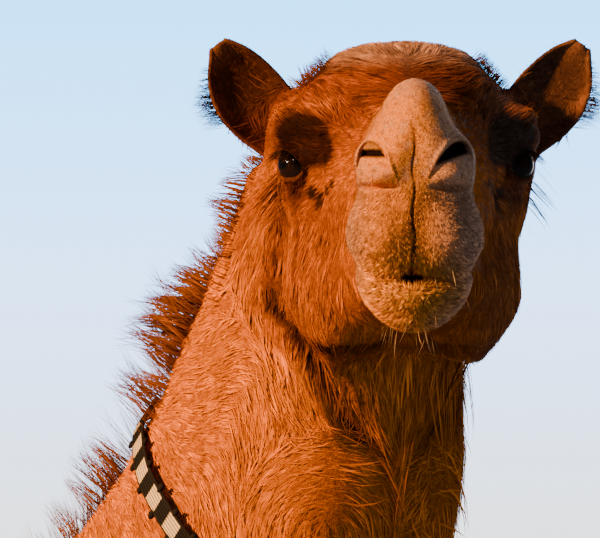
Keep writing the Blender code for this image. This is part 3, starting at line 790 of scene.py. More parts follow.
def openLids(mesh):
    # lays the skin on the ball, with a slit between the lids through which the ball shows
    points = pointsOf(mesh)
    for node, side in eyeSides.items():
        ring, outward, forward, rise = lidRing(points, node, side)
        middle = np.array(middleOf(node))
        offset = points - middle
        length = np.linalg.norm(offset, axis=1)
        lidRadius = eyeShape["radius"] + eyeShape["lid"]
        swell = eyeShape["lid"] * 0.4 * np.exp(-(((ring - 1.12) / 0.16) ** 2))
        crease = -0.0020 * np.exp(-(((ring - 1.55) / 0.15) ** 2)) * (rise > -0.004)
        bag = -0.0012 * np.exp(-(((ring - 1.50) / 0.15) ** 2)) * (rise <= -0.004)
        target = lidRadius + swell + crease + bag
        reach = eyeShape["radius"] * eyeShape["blend"]
        hold = (1 - smoothstep(np.hypot(forward, rise), reach * 0.60, reach)) * (outward > -0.004)
        wanted = length + (target - length) * hold
        gape = (1 - smoothstep(ring, 0.90, 1.02)) * (outward > 0)
        wanted -= gape * (wanted - 0.62 * eyeShape["radius"])
        moved = (hold > 0) & (length < 0.06)
        points[moved] = middle + (offset * (wanted / np.maximum(length, 1e-6))[:, None])[moved]
    setPoints(mesh, points)


def rowValue(row, share):
    # a row of the ear's table at these shares of its length, with its corners rounded
    steps = (-0.08, -0.04, 0.0, 0.04, 0.08)
    return sum(np.interp(share + step, earShape["shares"], earShape[row]) for step in steps) / len(steps)


def makeEar(side):
    bpy.ops.object.select_all(action="DESELECT")
    bpy.ops.mesh.primitive_grid_add(x_subdivisions=22, y_subdivisions=34, size=2)
    ear = bpy.context.object
    flat = pointsOf(ear.data)
    share = -0.2 + 1.2 * (flat[:, 1] + 1) / 2
    angle = earShape["arc"] * flat[:, 0]
    across = rowValue("widths", share) * np.sin(angle) / math.sin(earShape["arc"])
    across += rowValue("shifts", share)
    depth = rowValue("cups", share) * np.cos(angle) - 0.002 * np.cos(3 * angle) * smoothstep(share, 0, 0.5)
    lean = math.radians(earShape["lean"])
    x, ahead, up = earShape["base"]
    along = earShape["length"] * share
    aside = x + along * math.sin(lean) + across * math.cos(lean)
    rise = up + along * math.cos(lean) - across * math.sin(lean)
    setPoints(ear.data, fromHead(np.stack([side * aside, ahead - depth, rise], 1)))
    applied(ear, "SOLIDIFY", thickness=earShape["wall"], offset=0.0)
    editing(ear)
    bpy.ops.mesh.normals_make_consistent(inside=False)
    done()
    softened(ear.data, 4)
    return ear


def joinEars(head):
    # one surface with the head's
    for side in (1, -1):
        ear = makeEar(side)
        applied(head, "BOOLEAN", operation="UNION", solver="EXACT", object=ear)
        bpy.data.objects.remove(ear)


def makeSkin():
    collar = np.array(middleOf("collar"))
    normal = (headSpot - collar) / np.linalg.norm(headSpot - collar)
    place = collar + (headSpot - collar) * skinBuild["joinAt"]
    upper = ["head", "neck", *eyeSides]
    fine = remeshed(upper, "skin", skinBuild["fineVoxel"], skinBuild["fineRounds"])
    cutAway(fine, place + normal * skinBuild["joinGap"] / 2, normal, True)
    sinkCoat(fine.data)

    def byEye(reach):
        return lambda middles: np.minimum(
            *(np.linalg.norm(middles - np.array(middleOf(node)), axis=1) for node in eyeSides)
        ) < reach

    def inMuzzle(radii, ahead=0.285):
        return lambda middles: near(toHead(middles), (muzzleAside, ahead, -0.040), radii) > 0

    refine(fine, inMuzzle((0.085, 0.090, 0.125)))
    refine(fine, byEye(0.045))
    refine(fine, inMuzzle((0.066, 0.060, 0.085), 0.30))
    refine(fine, byEye(0.032))
    softened(fine.data, 3)
    brushHead(fine.data)
    openLids(fine.data)
    joinEars(fine)
    print("head skinned,", len(fine.data.polygons), "faces")
    flat = [name for name in flesh if not name.startswith("ear")]
    coarse = remeshed(flat, "body", skinBuild["coarseVoxel"], skinBuild["coarseRounds"])
    cutAway(coarse, place - normal * skinBuild["joinGap"] / 2, normal, False)
    refine(coarse, lambda middles: middles[:, 2] < 0.17)
    sinkCoat(coarse.data)
    points = pointsOf(coarse.data)
    points[:, 2] = np.where(points[:, 2] < 0.006, 0.0004, points[:, 2])
    setPoints(coarse.data, points)
    only(fine)
    coarse.select_set(True)
    bpy.ops.object.join()
    editing(fine)
    bpy.ops.mesh.select_mode(type="EDGE")
    bpy.ops.mesh.select_all(action="DESELECT")
    bpy.ops.mesh.select_non_manifold(extend=False)
    bpy.ops.mesh.bridge_edge_loops()
    bpy.ops.mesh.select_mode(type="FACE")
    done()
    brushNeck(fine.data)
    bpy.ops.object.shade_smooth()
    return fine


skin = makeSkin()
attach(skin, "root")
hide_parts(*flesh)
print("skin has", sum(len(face.vertices) - 2 for face in skin.data.polygons), "triangles")


def unwrap(obj):
    editing(obj)
    bpy.ops.uv.smart_project(angle_limit=math.radians(66), island_margin=0.002)
    done()
    obj.data.uv_layers.active.name = "OFBake"


unwrap(skin)
print("skin unwrapped")


# markings with painted light and shade, shared by skin and coat
coatTones = {
    "chestnut": (0.60, 0.136, 0.0),
    "deep": (0.16, 0.034, 0.007),
    "pale": (0.70, 0.172, 0.0),
    "dark": (0.034, 0.011, 0.005),
    "crown": (0.48, 0.235, 0.140),
    "muzzle": (0.70, 0.232, 0.030),
    "grey": (0.42, 0.26, 0.20),
    "lips": (0.66, 0.25, 0.026),
    "litOchre": (0.34, 0.135, 0.020),
    "hollowShade": (0.030, 0.008, 0.003),
    "mane": (0.30, 0.085, 0.020),
    "holeShade": (0.010, 0.004, 0.003),
    "bare": (0.22, 0.140, 0.095),
    "earInside": (0.120, 0.032, 0.005),
    "rim": (0.40, 0.130, 0.030),
    "whisker": (0.62, 0.38, 0.20),
}


def paint(colors, share, tone):
    colors += (np.array(coatTones[tone]) - colors) * np.clip(share, 0, 1)[:, None]


# the dark tear marks between the eye and the nose
tearSpots = (
    ((0.0810, 0.056, -0.0325), (0.0130, 0.018, 0.0110)),
    ((0.0865, 0.039, -0.0250), (0.0095, 0.015, 0.0095)),
    ((0.0745, 0.085, -0.0225), (0.0060, 0.012, 0.0065)),
    ((0.0700, 0.104, -0.0180), (0.0055, 0.012, 0.0055)),
)


def mirroredNear(head, middle, radii):
    x, ahead, up = middle
    return near(head, middle, radii) + near(head, (-x, ahead, up), radii)


def padShare(places):
    # bare, hard pads: on the breast, the fore knees and the stifles
    share = np.zeros(len(places))
    for side in ("left", "right"):
        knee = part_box(f"front_{side}_forearm")
        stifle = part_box(f"hind_{side}_gaskin")
        front = (float(knee[0][0] + knee[1][0]) / 2, float(knee[0][1]), float(knee[0][2]) + 0.035)
        share += near(places, (front[0], front[1] + 0.075, front[2]), (0.050, 0.085, 0.070)) * 2
        front = (float(stifle[0][0] + stifle[1][0]) / 2, float(stifle[0][1]), float(stifle[1][2]) - 0.03)
        share += near(places, front, (0.050, 0.050, 0.060)) * 1.5
    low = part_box("trunk")[0]
    breast = (0.045, float(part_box("front_left_forearm")[1][1]) - 0.02, float(low[2]) + 0.03)
    return np.clip(share + near(places, breast, (0.090, 0.120, 0.070)) * 2, 0, 1)


def markingsAndPaintedLight(places, normals):
    share = regionShares(places)
    head, onHead, muzzle, nose = (share[key] for key in ("inHead", "head", "muzzle", "nose"))
    x, ahead, up = np.abs(head[:, 0] - middleLine(head)), head[:, 1], head[:, 2]
    colors = np.tile(coatTones["chestnut"], (len(places), 1))
    face = onHead * (1 - share["neck"])
    paint(colors, face * (0.50 + 0.45 * smoothstep(up, -0.01, 0.040)), "deep")
    paint(colors, 0.30 * share["neck"], "pale")
    # painted light on the neck below each cheek
    paint(colors, 0.8 * mirroredNear(head, (0.106, -0.050, -0.206), (0.060, 0.060, 0.050)), "pale")
    patchy = waves(places, 0.26, 11) + 0.5 * waves(places, 0.07, 12)
    paint(colors, 0.20 * np.clip(patchy, 0, 1) * (1 - share["neck"]), "deep")
    paint(colors, 0.30 * np.clip(-patchy, 0, 1), "pale")
    belly = smoothstep(-normals[:, 2], 0.2, 0.9) * (places[:, 2] > 0.8) * (1 - onHead)
    paint(colors, 0.6 * belly, "pale")
    paint(colors, 0.5 * share["legs"], "pale")
    top = smoothstep(places[:, 2], 2.0, 2.18) * (places[:, 1] > -0.1)
    tuft = (1 - smoothstep(places[:, 2], 1.05, 1.25)) * (places[:, 1] > 1.18) * (places[:, 2] > 0.8)
    paint(colors, 0.55 * top + 0.8 * tuft, "dark")
    paint(colors, 0.9 * padShare(places), "bare")
    paint(colors, 0.6 * share["feet"] * smoothstep(-normals[:, 2], 0.0, 0.8), "bare")
    _, _, crestness = neckSides(places)
    paint(colors, 0.75 * share["neck"] * smoothstep(crestness, 0.78, 0.96), "mane")
    paint(colors, onHead * smoothstep(up, 0.080, 0.108) * 0.75, "crown")
    paint(colors, onHead * smoothstep(x, 0.055, 0.085) * smoothstep(up, 0.070, 0.090) * 0.8, "dark")
    # painted shade in the hollows under the brows and in front of the eyes
    paint(colors, onHead * 4.0 * mirroredNear(head, (0.096, 0.048, 0.021), (0.040, 0.056, 0.032)), "hollowShade")
    paint(colors, onHead * 2.0 * mirroredNear(head, (0.080, 0.080, 0.012), (0.024, 0.046, 0.024)), "hollowShade")
    paint(colors, onHead * 1.2 * mirroredNear(head, (0.104, 0.020, -0.026), (0.030, 0.044, 0.022)), "deep")
    for spot, radii in tearSpots:
        paint(colors, onHead * 3.4 * mirroredNear(head, spot, radii), "dark")
    # painted highlight along each brow ridge
    paint(colors, onHead * 0.9 * mirroredNear(head, (0.116, 0.010, 0.046), (0.022, 0.030, 0.010)), "pale")
    # painted shade along each fold, weaker on the camel's left side
    for fold in folds.values():
        for side in (1, -1):
            gap = foldGap(head, fold, side) / fold["width"]
            paint(colors, (0.75 - 0.15 * side) * np.exp(-((gap * 1.7) ** 2)), "hollowShade")
    along, across, depth = inEar(head)
    facing = normals @ turnFromHead([(0, 1, 0)])[0]
    inside = smoothstep(facing, 0.0, 0.35) * (1 - smoothstep(np.abs(across), 0.024, 0.034))
    inside *= 1 - smoothstep(along, 0.075, 0.100)
    paint(colors, share["ears"] * 0.6, "rim")
    paint(colors, share["ears"] * smoothstep(0.10 - along, 0.0, 0.08) * 0.7, "deep")
    paint(colors, share["ears"] * inside, "earInside")
    paint(colors, muzzle, "muzzle")
    left = head[:, 0] - middleLine(head)  # painted shade: the camel's left side, away from the low sun, greyer than the right
    paint(colors, muzzle * smoothstep(x, 0.028, 0.052) * 0.45, "grey")
    paint(colors, muzzle * smoothstep(left, 0.004, 0.030) * 0.55, "grey")
    paint(colors, onHead * smoothstep(left, 0.045, 0.080) * 0.10, "grey")
    paint(colors, nose * smoothstep(up, 0.040, 0.062) * 0.45, "grey")
    mottle = np.clip(waves(places, 0.011, 41), 0, 1), np.clip(waves(places, 0.006, 42) - 0.35, 0, 1)
    paint(colors, nose * 0.35 * mottle[0], "grey")
    paint(colors, nose * 0.40 * mottle[1], "deep")
    mouth = near(head, (muzzleAside, 0.29, -0.102), (0.062, 0.080, 0.042))
    paint(colors, muzzle * mouth * 1.1, "lips")
    # painted light on the wall over each nostril's slit, and painted shade in the slit
    slit, roof, _, _ = nostrilShares(head)
    paint(colors, 1.5 * roof, "litOchre")
    paint(colors, 1.4 * slit, "holeShade")
    # painted shade in the groove down the nose and upper lip
    groove = left - crooked(head)
    line = np.exp(-((groove / 0.0013) ** 2)) * smoothstep(ahead, 0.22, 0.24)
    paint(colors, line * 0.80 * (up > -0.096) * (1 - smoothstep(up, 0.012, 0.046)), "dark")
    # painted shade in the mouth
    paint(colors, 2.5 * near(head, mouthHole, (0.0125, 0.050, 0.0070)), "holeShade")
    for node, side in eyeSides.items():
        ring, outward, _, _ = lidRing(places, node, side)
        lid = np.exp(-(((ring - 1.02) / 0.06) ** 2)) * (outward > 0) * onHead
        paint(colors, 0.7 * lid, "bare")
        # painted shade on the skin inside the eye's opening
        paint(colors, 1.0 * smoothstep(1.0 - ring, 0.02, 0.1) * (outward > 0.008) * onHead, "holeShade")
        # painted shade in a ring round the eye
        shadeAroundEye = np.exp(-(((ring - 1.30) / 0.22) ** 2)) * (outward > 0) * onHead
        paint(colors, 0.7 * shadeAroundEye, "dark")
    return colors


# lie of the coat
neckFlow = {
    "throat": -18,  # degrees from down the neck, positive towards the crest
    "front": -48,
    "side": -122,
    "crest": 66,
    "partAt": 0.42,
    "swing": ((0.150, 20), (0.050, 13)),  # wave length, degrees
    "whorls": (((0.068, -0.043, -0.338), 0.135), ((0.142, -0.090, -0.085), 0.045)),
}


def neckLie(places, normals):
    # sweeps to the crest above a parting, arches over a whorl and hangs down the throat
    down, crest, crestness = neckSides(places)
    turn = neckFlow["front"] + (neckFlow["side"] - neckFlow["front"]) * smoothstep(crestness, -0.30, 0.25)
    turn += (neckFlow["throat"] - turn) * smoothstep(-crestness, 0.50, 0.85)
    stray = 0.10 * waves(places, 0.06, 21) + chance.normal(0, 0.10, len(places))
    parted = crestness + stray > neckFlow["partAt"]
    turn = np.where(parted, neckFlow["crest"], turn)
    for slot, (length, degrees) in enumerate(neckFlow["swing"]):
        turn = turn + degrees * waves(places, length, 22 + slot)
    turn = np.radians(turn)[:, None]
    lie = down * np.cos(turn) + crest * np.sin(turn)
    head = toHead(places)
    for (x, ahead, up), reach in neckFlow["whorls"]:
        for side in (1, -1):
            arm = places - fromHead([(side * x, ahead, up)])
            arch = unit(np.cross(normals, arm))
            arch *= np.sign((arch * lie).sum(1) + chance.normal(0, 0.30, len(places)))[:, None]
            share = 1 - smoothstep(np.linalg.norm(arm, axis=1), reach * 0.5, reach)
            lie += (arch - lie) * (share * (np.sign(head[:, 0]) == side))[:, None]
    return lie


def lieOf(places, normals):
    share = regionShares(places)
    head, onHead, muzzle = share["inHead"], share["head"][:, None], share["muzzle"][:, None]
    x, ahead, up = head.T
    sign = np.sign(x)
    lie = np.tile((0.0, 0.85, -0.45), (len(places), 1))
    neck = neckLie(places, normals)
    lie += (neck - lie) * (1 - smoothstep(places[:, 1], -0.45, -0.10))[:, None]
    lie += (np.array((0, 0.12, -1.0)) - lie) * share["legs"][:, None]
    flow = np.tile((0.0, -1.0, -0.25), (len(places), 1))
    cheek = smoothstep(-up, 0.0, 0.07)[:, None]
    flow += (np.array((0, -0.30, -1.0)) - flow) * cheek
    brow = (smoothstep(up, 0.005, 0.06) * smoothstep(ahead, -0.10, 0.00))[:, None]
    outward = np.stack([sign * 1.0, np.full(len(x), -0.40), 0.50 + 0.5 * smoothstep(up, 0.09, 0.06)], 1)
    flow += (outward - flow) * brow
    crown = (smoothstep(up, 0.085, 0.11) * smoothstep(0.05 - np.abs(x), 0, 0.03))[:, None]
    flow += (np.array((0, -1.0, 0.5)) - flow) * crown
    off = x - middleLine(head)
    lips = np.stack([off * 16, np.full(len(x), -0.25), -0.35 - 9.0 * (up + 0.075)], 1)
    flow += (lips - flow) * muzzle
    along, _, _ = inEar(head)
    lean = math.radians(earShape["lean"])
    tip = np.stack([sign * math.sin(lean), np.full(len(x), -0.1), np.full(len(x), math.cos(lean))], 1)
    flow += (tip - flow) * share["ears"][:, None]
    lie += (turnFromHead(flow) - lie) * onHead
    turn = 0.34 * waves(places, 0.24, 3) + 0.24 * waves(places, 0.070, 4)
    turn = turn * (1 - 0.88 * onHead[:, 0]) * (1 - 0.7 * share["legs"]) * (1 - share["neck"])
    lie = unit(lie - normals * (lie * normals).sum(1)[:, None])
    side = np.cross(normals, lie)
    return lie * np.cos(turn)[:, None] + side * np.sin(turn)[:, None]


def skinTriangles(obj):
    mesh = obj.data
    mesh.calc_loop_triangles()
    count = len(mesh.loop_triangles)
    corners, loops = np.empty(count * 3, np.int32), np.empty(count * 3, np.int32)
    mesh.loop_triangles.foreach_get("vertices", corners)
    mesh.loop_triangles.foreach_get("loops", loops)
    uv = np.empty(len(mesh.loops) * 2)
    mesh.uv_layers["OFBake"].uv.foreach_get("vector", uv)
    points, normals = pointsOf(mesh), pointsOf(mesh, "normal")
    corners, loops = corners.reshape(-1, 3), loops.reshape(-1, 3)
    return points[corners], normals[corners], uv.reshape(-1, 2)[loops]


surface = skinTriangles(skin)
skinTree = BVHTree.FromObject(skin, bpy.context.evaluated_depsgraph_get())


def sow(crowd):
    # roots spread over the skin, crowd(middles, normals) to the square metre
    points, normals, uv = surface
    middles, facing = points.mean(1), unit(normals.mean(1))
    area = np.linalg.norm(np.cross(points[:, 1] - points[:, 0], points[:, 2] - points[:, 0]), axis=1) / 2
    weight = area * crowd(middles, facing)
    total = int(weight.sum() * quickShare)
    picks = np.searchsorted(np.cumsum(weight) / weight.sum(), chance.random(total))
    picks = np.minimum(picks, len(weight) - 1)
    a, b = chance.random(total), chance.random(total)
    flip = a + b > 1
    a, b = np.where(flip, 1 - a, a), np.where(flip, 1 - b, b)
    shares = np.stack([1 - a - b, a, b], 1)[:, :, None]
    places, outward, spots = ((values[picks] * shares).sum(1) for values in (points, normals, uv))
    return places, unit(outward), spots


def nearestRows(places, among):
    # for each place, the row of the nearest of the others
    tree = KDTree(len(among))
    for row, other in enumerate(among):
        tree.insert(other, row)
    tree.balance()
    return np.array([tree.find(place)[1] for place in places])


def clumped(places, tips, every, pull):
    # draws each tip towards the tip of the nearest leading tuft
    leaders = np.arange(0, len(places), every)
    chosen = leaders[nearestRows(places, places[leaders])]
    gather = tips[chosen] - tips
    far = np.linalg.norm(gather, axis=1, keepdims=True)
    reach = np.linalg.norm(tips - places, axis=1, keepdims=True)
    return gather * np.minimum(1.0, 0.8 * reach / np.maximum(far, 1e-6)) * pull, chosen


def settled(spots, heights, most):
    # what brings each spot to this height over the skin
    moves = np.zeros((len(spots), 3))
    for slot, spot in enumerate(spots):
        foot, normal, _, _ = skinTree.find_nearest(spot)
        moves[slot] = normal * (heights[slot] - (Vector(spot) - foot).dot(normal))
    far = np.linalg.norm(moves, axis=1)
    return moves * np.minimum(1, most / np.maximum(far, 1e-9))[:, None]


# hair finishes: how much painted shade darkens the roots, and how much the tufts differ
def makeHairFinish(name, rootShade, contrast):
    finish = Finish(name, 0.60, Specular_IOR_Level=0.0)
    _, along, tone = finish.parts(finish.stored("strand"))
    fine = finish.noise(0.005, detail=2.0)
    # painted shade, darkest at the roots
    shade = finish.between(along, -0.20, 0.60) * (1 - rootShade) + rootShade
    light = shade * (tone * contrast + (1 - contrast / 2)) * (fine * 0.7 + 0.65)
    dim = finish.mix(1.0, finish.stored("tint"), finish.grey(light), "MULTIPLY")
    sunny = finish.mix(1.0, dim, (1.7, 1.7, 1.5), "MULTIPLY")
    return finish.give(Base_Color=finish.mix(finish.between(tone, 0.62, 1.0) * 0.55, dim, sunny))


coatFinish = makeHairFinish("coat_hair", 0.38, 0.78)
faceFinish = makeHairFinish("face_hair", 0.34, 0.95)
streakFinish = makeHairFinish("streak_hair", 0.30, 1.45)
bristleFinish = makeHairFinish("bristle", 0.16, 1.25)


# tufts: each kind of hair has its length and width, its lift off the skin, how it stands (0 along
# the skin, 1 straight out), its curl and droop, and how it clumps: every so many tufts one leads,
# and pulls the others to its tip by a share. Flat hair is shaded as the skin under it
plainTuft = {"lift": 0.0, "stand": 0.0, "droop": 0.0, "rings": 1, "flat": True, "color": None, "tip": None}
tuftShape = ("length", "width", "lift", "stand", "curl", "droop")
tuftPatch = 0.003  # across each tuft on the bake's map
ringWidths = {1: (1.0,), 2: (0.75, 0.85), 3: (0.7, 1.0, 0.62)}
mostTriangles = 190000  # in a piece


def tuftCorners(roots, lies, shape, look):
    # each tuft's rings of three corners and its tip, with the way each corner faces
    places, normals, _ = roots
    count, rings = len(places), look["rings"]
    length, width, lift, stand, curl, droop = shape
    length = length * chance.uniform(0.7, 1.2, count)
    tone = chance.random(count)
    side = unit(np.cross(normals, lies))
    curl = curl * chance.normal(0, 1, count)
    ahead = unit(lies * (1 - stand)[:, None] + normals * stand[:, None])

    def centre(share):
        out = lift * np.sin(np.clip(share * 1.25, 0, 1) * math.pi / 2)
        spot = places + ahead * (length * share)[:, None] + normals * out[:, None]
        spot[:, 2] -= droop * length * share**2
        return spot + side * (curl * length * share**2)[:, None]

    gather, rise = np.zeros((count, 3)), np.zeros((count, 3))
    if look["pull"]:
        gather, chosen = clumped(places, centre(1.0), look["every"], look["pull"])
        tone = 0.75 * tone[chosen] + 0.25 * tone
    if look["flat"]:
        rise = settled(centre(1.0) + gather, lift * 0.8 + stand * length * 0.8, length * 0.6)
    corners, shading, strand = [], [], []
    for step, wide in enumerate(ringWidths[rings]):
        share = step / rings
        middle = centre(share) + gather * share**1.6 + rise * share**1.3
        middle -= normals * (0.0006 if share == 0 else 0)  # roots under the skin
        half = width[:, None] * wide / 2
        corners += [middle - side * half, middle + side * half, middle + normals * half * 0.5]
        shading += [normals - side * 0.35, normals + side * 0.35, normals]
        strand += [(-1.0, share), (1.0, share), (0.0, share)]
    corners.append(centre(1.0) + gather + rise)
    shading.append(normals + ahead * 0.15)
    strand.append((0.0, 1.0))
    return np.stack(corners, 1), np.stack(shading, 1), np.array(strand), tone


def tuftFaces(rings):
    # the sides between one tuft's rings, its root and its tip
    faces = []
    for a in range(0, 3 * (rings - 1), 3):
        faces += [(a + 1, a + 4, a + 3, a), (a + 2, a + 5, a + 4, a + 1), (a, a + 3, a + 5, a + 2)]
    a, tip = 3 * (rings - 1), 3 * rings
    return faces + [(2, 1, 0), (a + 1, tip, a), (a + 2, tip, a + 1), (a, tip, a + 2)]


def growTufts(name, roots, lies, shape, colors, tips, look, finish):
    corners, shading, strand, tone = tuftCorners(roots, lies, shape, look)
    count, per = corners.shape[:2]
    points = corners.reshape(-1, 3)
    points[:, 2] = np.maximum(points[:, 2], 0.001)  # all of it over the floor
    faces = tuftFaces(look["rings"])
    sizes = np.tile([len(face) for face in faces], count)
    mesh = bpy.data.meshes.new(name)
    mesh.vertices.add(count * per)
    setPoints(mesh, points)
    loops = (np.concatenate(faces)[None] + per * np.arange(count)[:, None]).ravel().astype(np.int32)
    mesh.loops.add(len(loops))
    mesh.loops.foreach_set("vertex_index", loops)
    mesh.polygons.add(len(sizes))
    mesh.polygons.foreach_set("loop_start", (np.cumsum(sizes) - sizes).astype(np.int32))
    mesh.update(calc_edges=True)
    patch = np.stack([strand[:, 0] * 0.5, strand[:, 1] - 0.5], 1) * tuftPatch
    spots = (roots[2][:, None] + patch[None]).reshape(-1, 2)[loops]
    mesh.uv_layers.new(name="OFBake").uv.foreach_set("vector", spots.astype(np.float32).ravel())
    along = np.ones((count, per, 4))
    along[:, :, 0], along[:, :, 1] = strand[:, 0] * 0.5 + 0.5, strand[:, 1]
    along[:, :, 2] = tone[:, None]
    storeColors(mesh, "strand", along)
    tint = np.ones((count, per, 4))
    tipShare = (strand[:, 1] ** 1.5)[None, :, None]
    tint[:, :, :3] = colors[:, None] * (1 - tipShare) + tips[:, None] * tipShare
    storeColors(mesh, "tint", tint)
    mesh.shade_smooth()
    if look["flat"]:
        mesh.normals_split_custom_set_from_vertices(unit(shading.reshape(-1, 3)))
    mesh.materials.append(finish)
    obj = bpy.data.objects.new(name, mesh)
    bpy.context.collection.objects.link(obj)
    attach(obj, "root")
    print(name, count, "tufts,", count * (6 * look["rings"] - 2), "triangles")


def growInPieces(name, roots, look, lie=lieOf, finish=coatFinish, **changes):
    # pieces of neighbouring tufts, each small enough to export whole
    look = {**plainTuft, **look, **changes}
    places = roots[0]
    pieces = math.ceil(len(places) * (6 * look["rings"] - 2) / mostTriangles)
    order = np.argsort(places @ np.array((0.3, 1.0, -0.2)))
    for slot, part in enumerate(np.array_split(order, pieces)):
        own = tuple(values[part] for values in roots)
        shape = [np.broadcast_to(look[key], len(places))[part] for key in tuftShape]
        lies = lie(own[0], own[1])
        colors = markingsAndPaintedLight(own[0] + lies * (shape[0] * 0.45)[:, None], own[1])
        if look["color"]:
            colors = colors * 0.15 + np.array(coatTones[look["color"]]) * 0.85
        tips = colors * 0.35 + np.array(coatTones[look["tip"]]) * 0.65 if look["tip"] else colors
        title = name if pieces == 1 else f"{name}_{slot + 1}"
        growTufts(title, own, lies, shape, colors, tips, look, finish)


def byEyes(places):
    # 1 on the lids, fading out round them
    share = np.zeros(len(places))
    for node, side in eyeSides.items():
        ring, outward, _, _ = lidRing(places, node, side)
        share = np.maximum(share, (1 - smoothstep(ring, 1.0, 1.9)) * (outward > 0))
    return share


def openEyes(places):
    # 0 in the eyes' openings, in the nostrils and in the mouth
    keep = np.ones(len(places))
    for node, side in eyeSides.items():
        ring, outward, _, _ = lidRing(places, node, side)
        keep *= 1 - (ring < 1.10) * (outward > 0) * (outward < 0.04)
    head = toHead(places)
    slit, roof, _, _ = nostrilShares(head)
    keep *= slit + roof < 0.15
    return keep * (near(head, mouthHole, (0.011, 0.050, 0.006)) < 0.05)


def headWay(aside, ahead, up):
    # directions given in the head's frame, all as long rows
    return unit(turnFromHead(np.stack(np.broadcast_arrays(aside, ahead, up), 1)))


# fine straight hair over the face and the backs of the ears
faceHair = {
    "crowd": 240000,  # tufts to the square metre
    "length": 0.0160,
    "width": 0.0011,
    "lift": 0.0009,
    "stand": 0.02,
    "curl": 0.08,
    "every": 5,
    "pull": 0.34,
}


def faceCoat():
    def crowd(places, normals):
        share = regionShares(places)
        facing = normals @ turnFromHead([(0, 1, 0)])[0]
        ears = 1 - 0.75 * share["ears"] * smoothstep(facing, 0, 0.3)
        return share["head"] * (1 - share["muzzle"]) * faceHair["crowd"] * ears * openEyes(places)

    roots = sow(crowd)
    share = regionShares(roots[0])
    up, eyes = share["inHead"][:, 2], byEyes(roots[0])
    length = faceHair["length"] + 0.005 * smoothstep(-up, 0.03, 0.12) - 0.004 * smoothstep(up, 0.075, 0.11)
    length *= (1 - 0.65 * eyes) * (1 - 0.55 * share["ears"])
    width = faceHair["width"] - 0.0003 * eyes
    growInPieces("coat_face", roots, faceHair, finish=faceFinish, length=length, width=width)


# longer strands that lie in streaks over the brows, the crown and the jaws
browHair = {
    "crowdHigh": 50000,
    "crowdLow": 12000,
    "length": 0.030,
    "width": 0.0012,
    "lift": 0.0020,
    "stand": 0.02,
    "curl": 0.09,
    "rings": 2,
    "every": 7,
    "pull": 0.60,
}


def browStrands():
    def crowd(places, normals):
        share = regionShares(places)
        up = share["inHead"][:, 2]
        bare = 1 - np.maximum(share["muzzle"], share["ears"])
        high, low = smoothstep(up, 0.025, 0.050), smoothstep(-up, 0.05, 0.09)
        many = browHair["crowdHigh"] * high + browHair["crowdLow"] * low
        return share["head"] * bare * many * openEyes(places) * (1 - byEyes(places))

    growInPieces("coat_brow", sow(crowd), browHair, finish=streakFinish)


# stubble round the lips, and a close down on the nose
muzzleHair = {
    "crowdLips": 500000,
    "crowdNose": 300000,
    "length": 0.0034,
    "width": 0.0008,
    "lift": 0.0002,
    "stand": 0.40,
    "curl": 0.20,
    "every": 5,
    "pull": 0.50,
    "flat": False,
}


def muzzleCoat():
    def crowd(places, normals):
        share = regionShares(places)
        lips = share["muzzle"] * (1 - share["nose"])
        many = lips * muzzleHair["crowdLips"] + share["nose"] * muzzleHair["crowdNose"]
        return share["head"] * many * openEyes(places)

    roots = sow(crowd)
    share = regionShares(roots[0])
    nose = share["nose"]
    mouth = near(share["inHead"], (muzzleAside, 0.29, -0.105), (0.075, 0.090, 0.055))
    changes = {
        "length": muzzleHair["length"] + 0.0028 * mouth - 0.0006 * nose,
        "width": muzzleHair["width"] - 0.0001 * nose,
        "stand": muzzleHair["stand"] + 0.14 * mouth - 0.26 * nose,
    }
    growInPieces("coat_muzzle", roots, muzzleHair, finish=bristleFinish, **changes)


# a close fine coat on the neck, and longer wavy strands over it
neckHair = {
    "crowd": 118000,
    "length": 0.026,
    "width": 0.0015,
    "lift": 0.0014,
    "stand": 0.020,
    "curl": 0.10,
    "every": 7,
    "pull": 0.45,
}
neckStrands = {
    "crowd": 9000,
    "crowdThroat": 6000,
    "length": 0.036,
    "width": 0.0010,
    "lift": 0.0028,
    "stand": 0.03,
    "curl": 0.16,
    "rings": 2,
    "every": 6,
    "pull": 0.50,
}


def neckCoat():
    def crowd(places, normals):
        return regionShares(places)["neck"] * neckHair["crowd"]

    def crowdOver(places, normals):
        _, _, crestness = neckSides(places)
        many, patch = neckStrands["crowd"], smoothstep(waves(places, 0.05, 27), -0.7, 0.7)
        many = many + many * patch + neckStrands["crowdThroat"] * smoothstep(-crestness, 0.5, 0.85)
        return regionShares(places)["neck"] * many

    growInPieces("coat_neck", sow(crowd), neckHair)
    roots = sow(crowdOver)
    _, _, crestness = neckSides(roots[0])
    throat = smoothstep(-crestness, 0.60, 0.95)
    crest = smoothstep(crestness, 0.60, 0.95)
    length = neckStrands["length"] + 0.006 * throat
    stand = neckStrands["stand"] + 0.10 * crest + 0.03 * throat
    growInPieces("coat_neck_strands", roots, neckStrands, length=length, stand=stand)


# mane: long fine tufts that stand off the crest, the lower ones longer and with dark tips
maneHair = {
    "crowd": 100000,
    "length": 0.024,
    "width": 0.0009,
    "lift": 0.004,
    "stand": 0.25,
    "curl": 0.24,
    "droop": 0.05,
    "rings": 3,
    "every": 11,
    "pull": 0.68,
    "flat": False,
    "color": "mane",
    "lowLonger": 0.034,
    "clumps": 0.050,
    "napeTuft": (-0.211, -0.205, -0.152),
    "napeReach": (0.07, 0.07, 0.07),
}


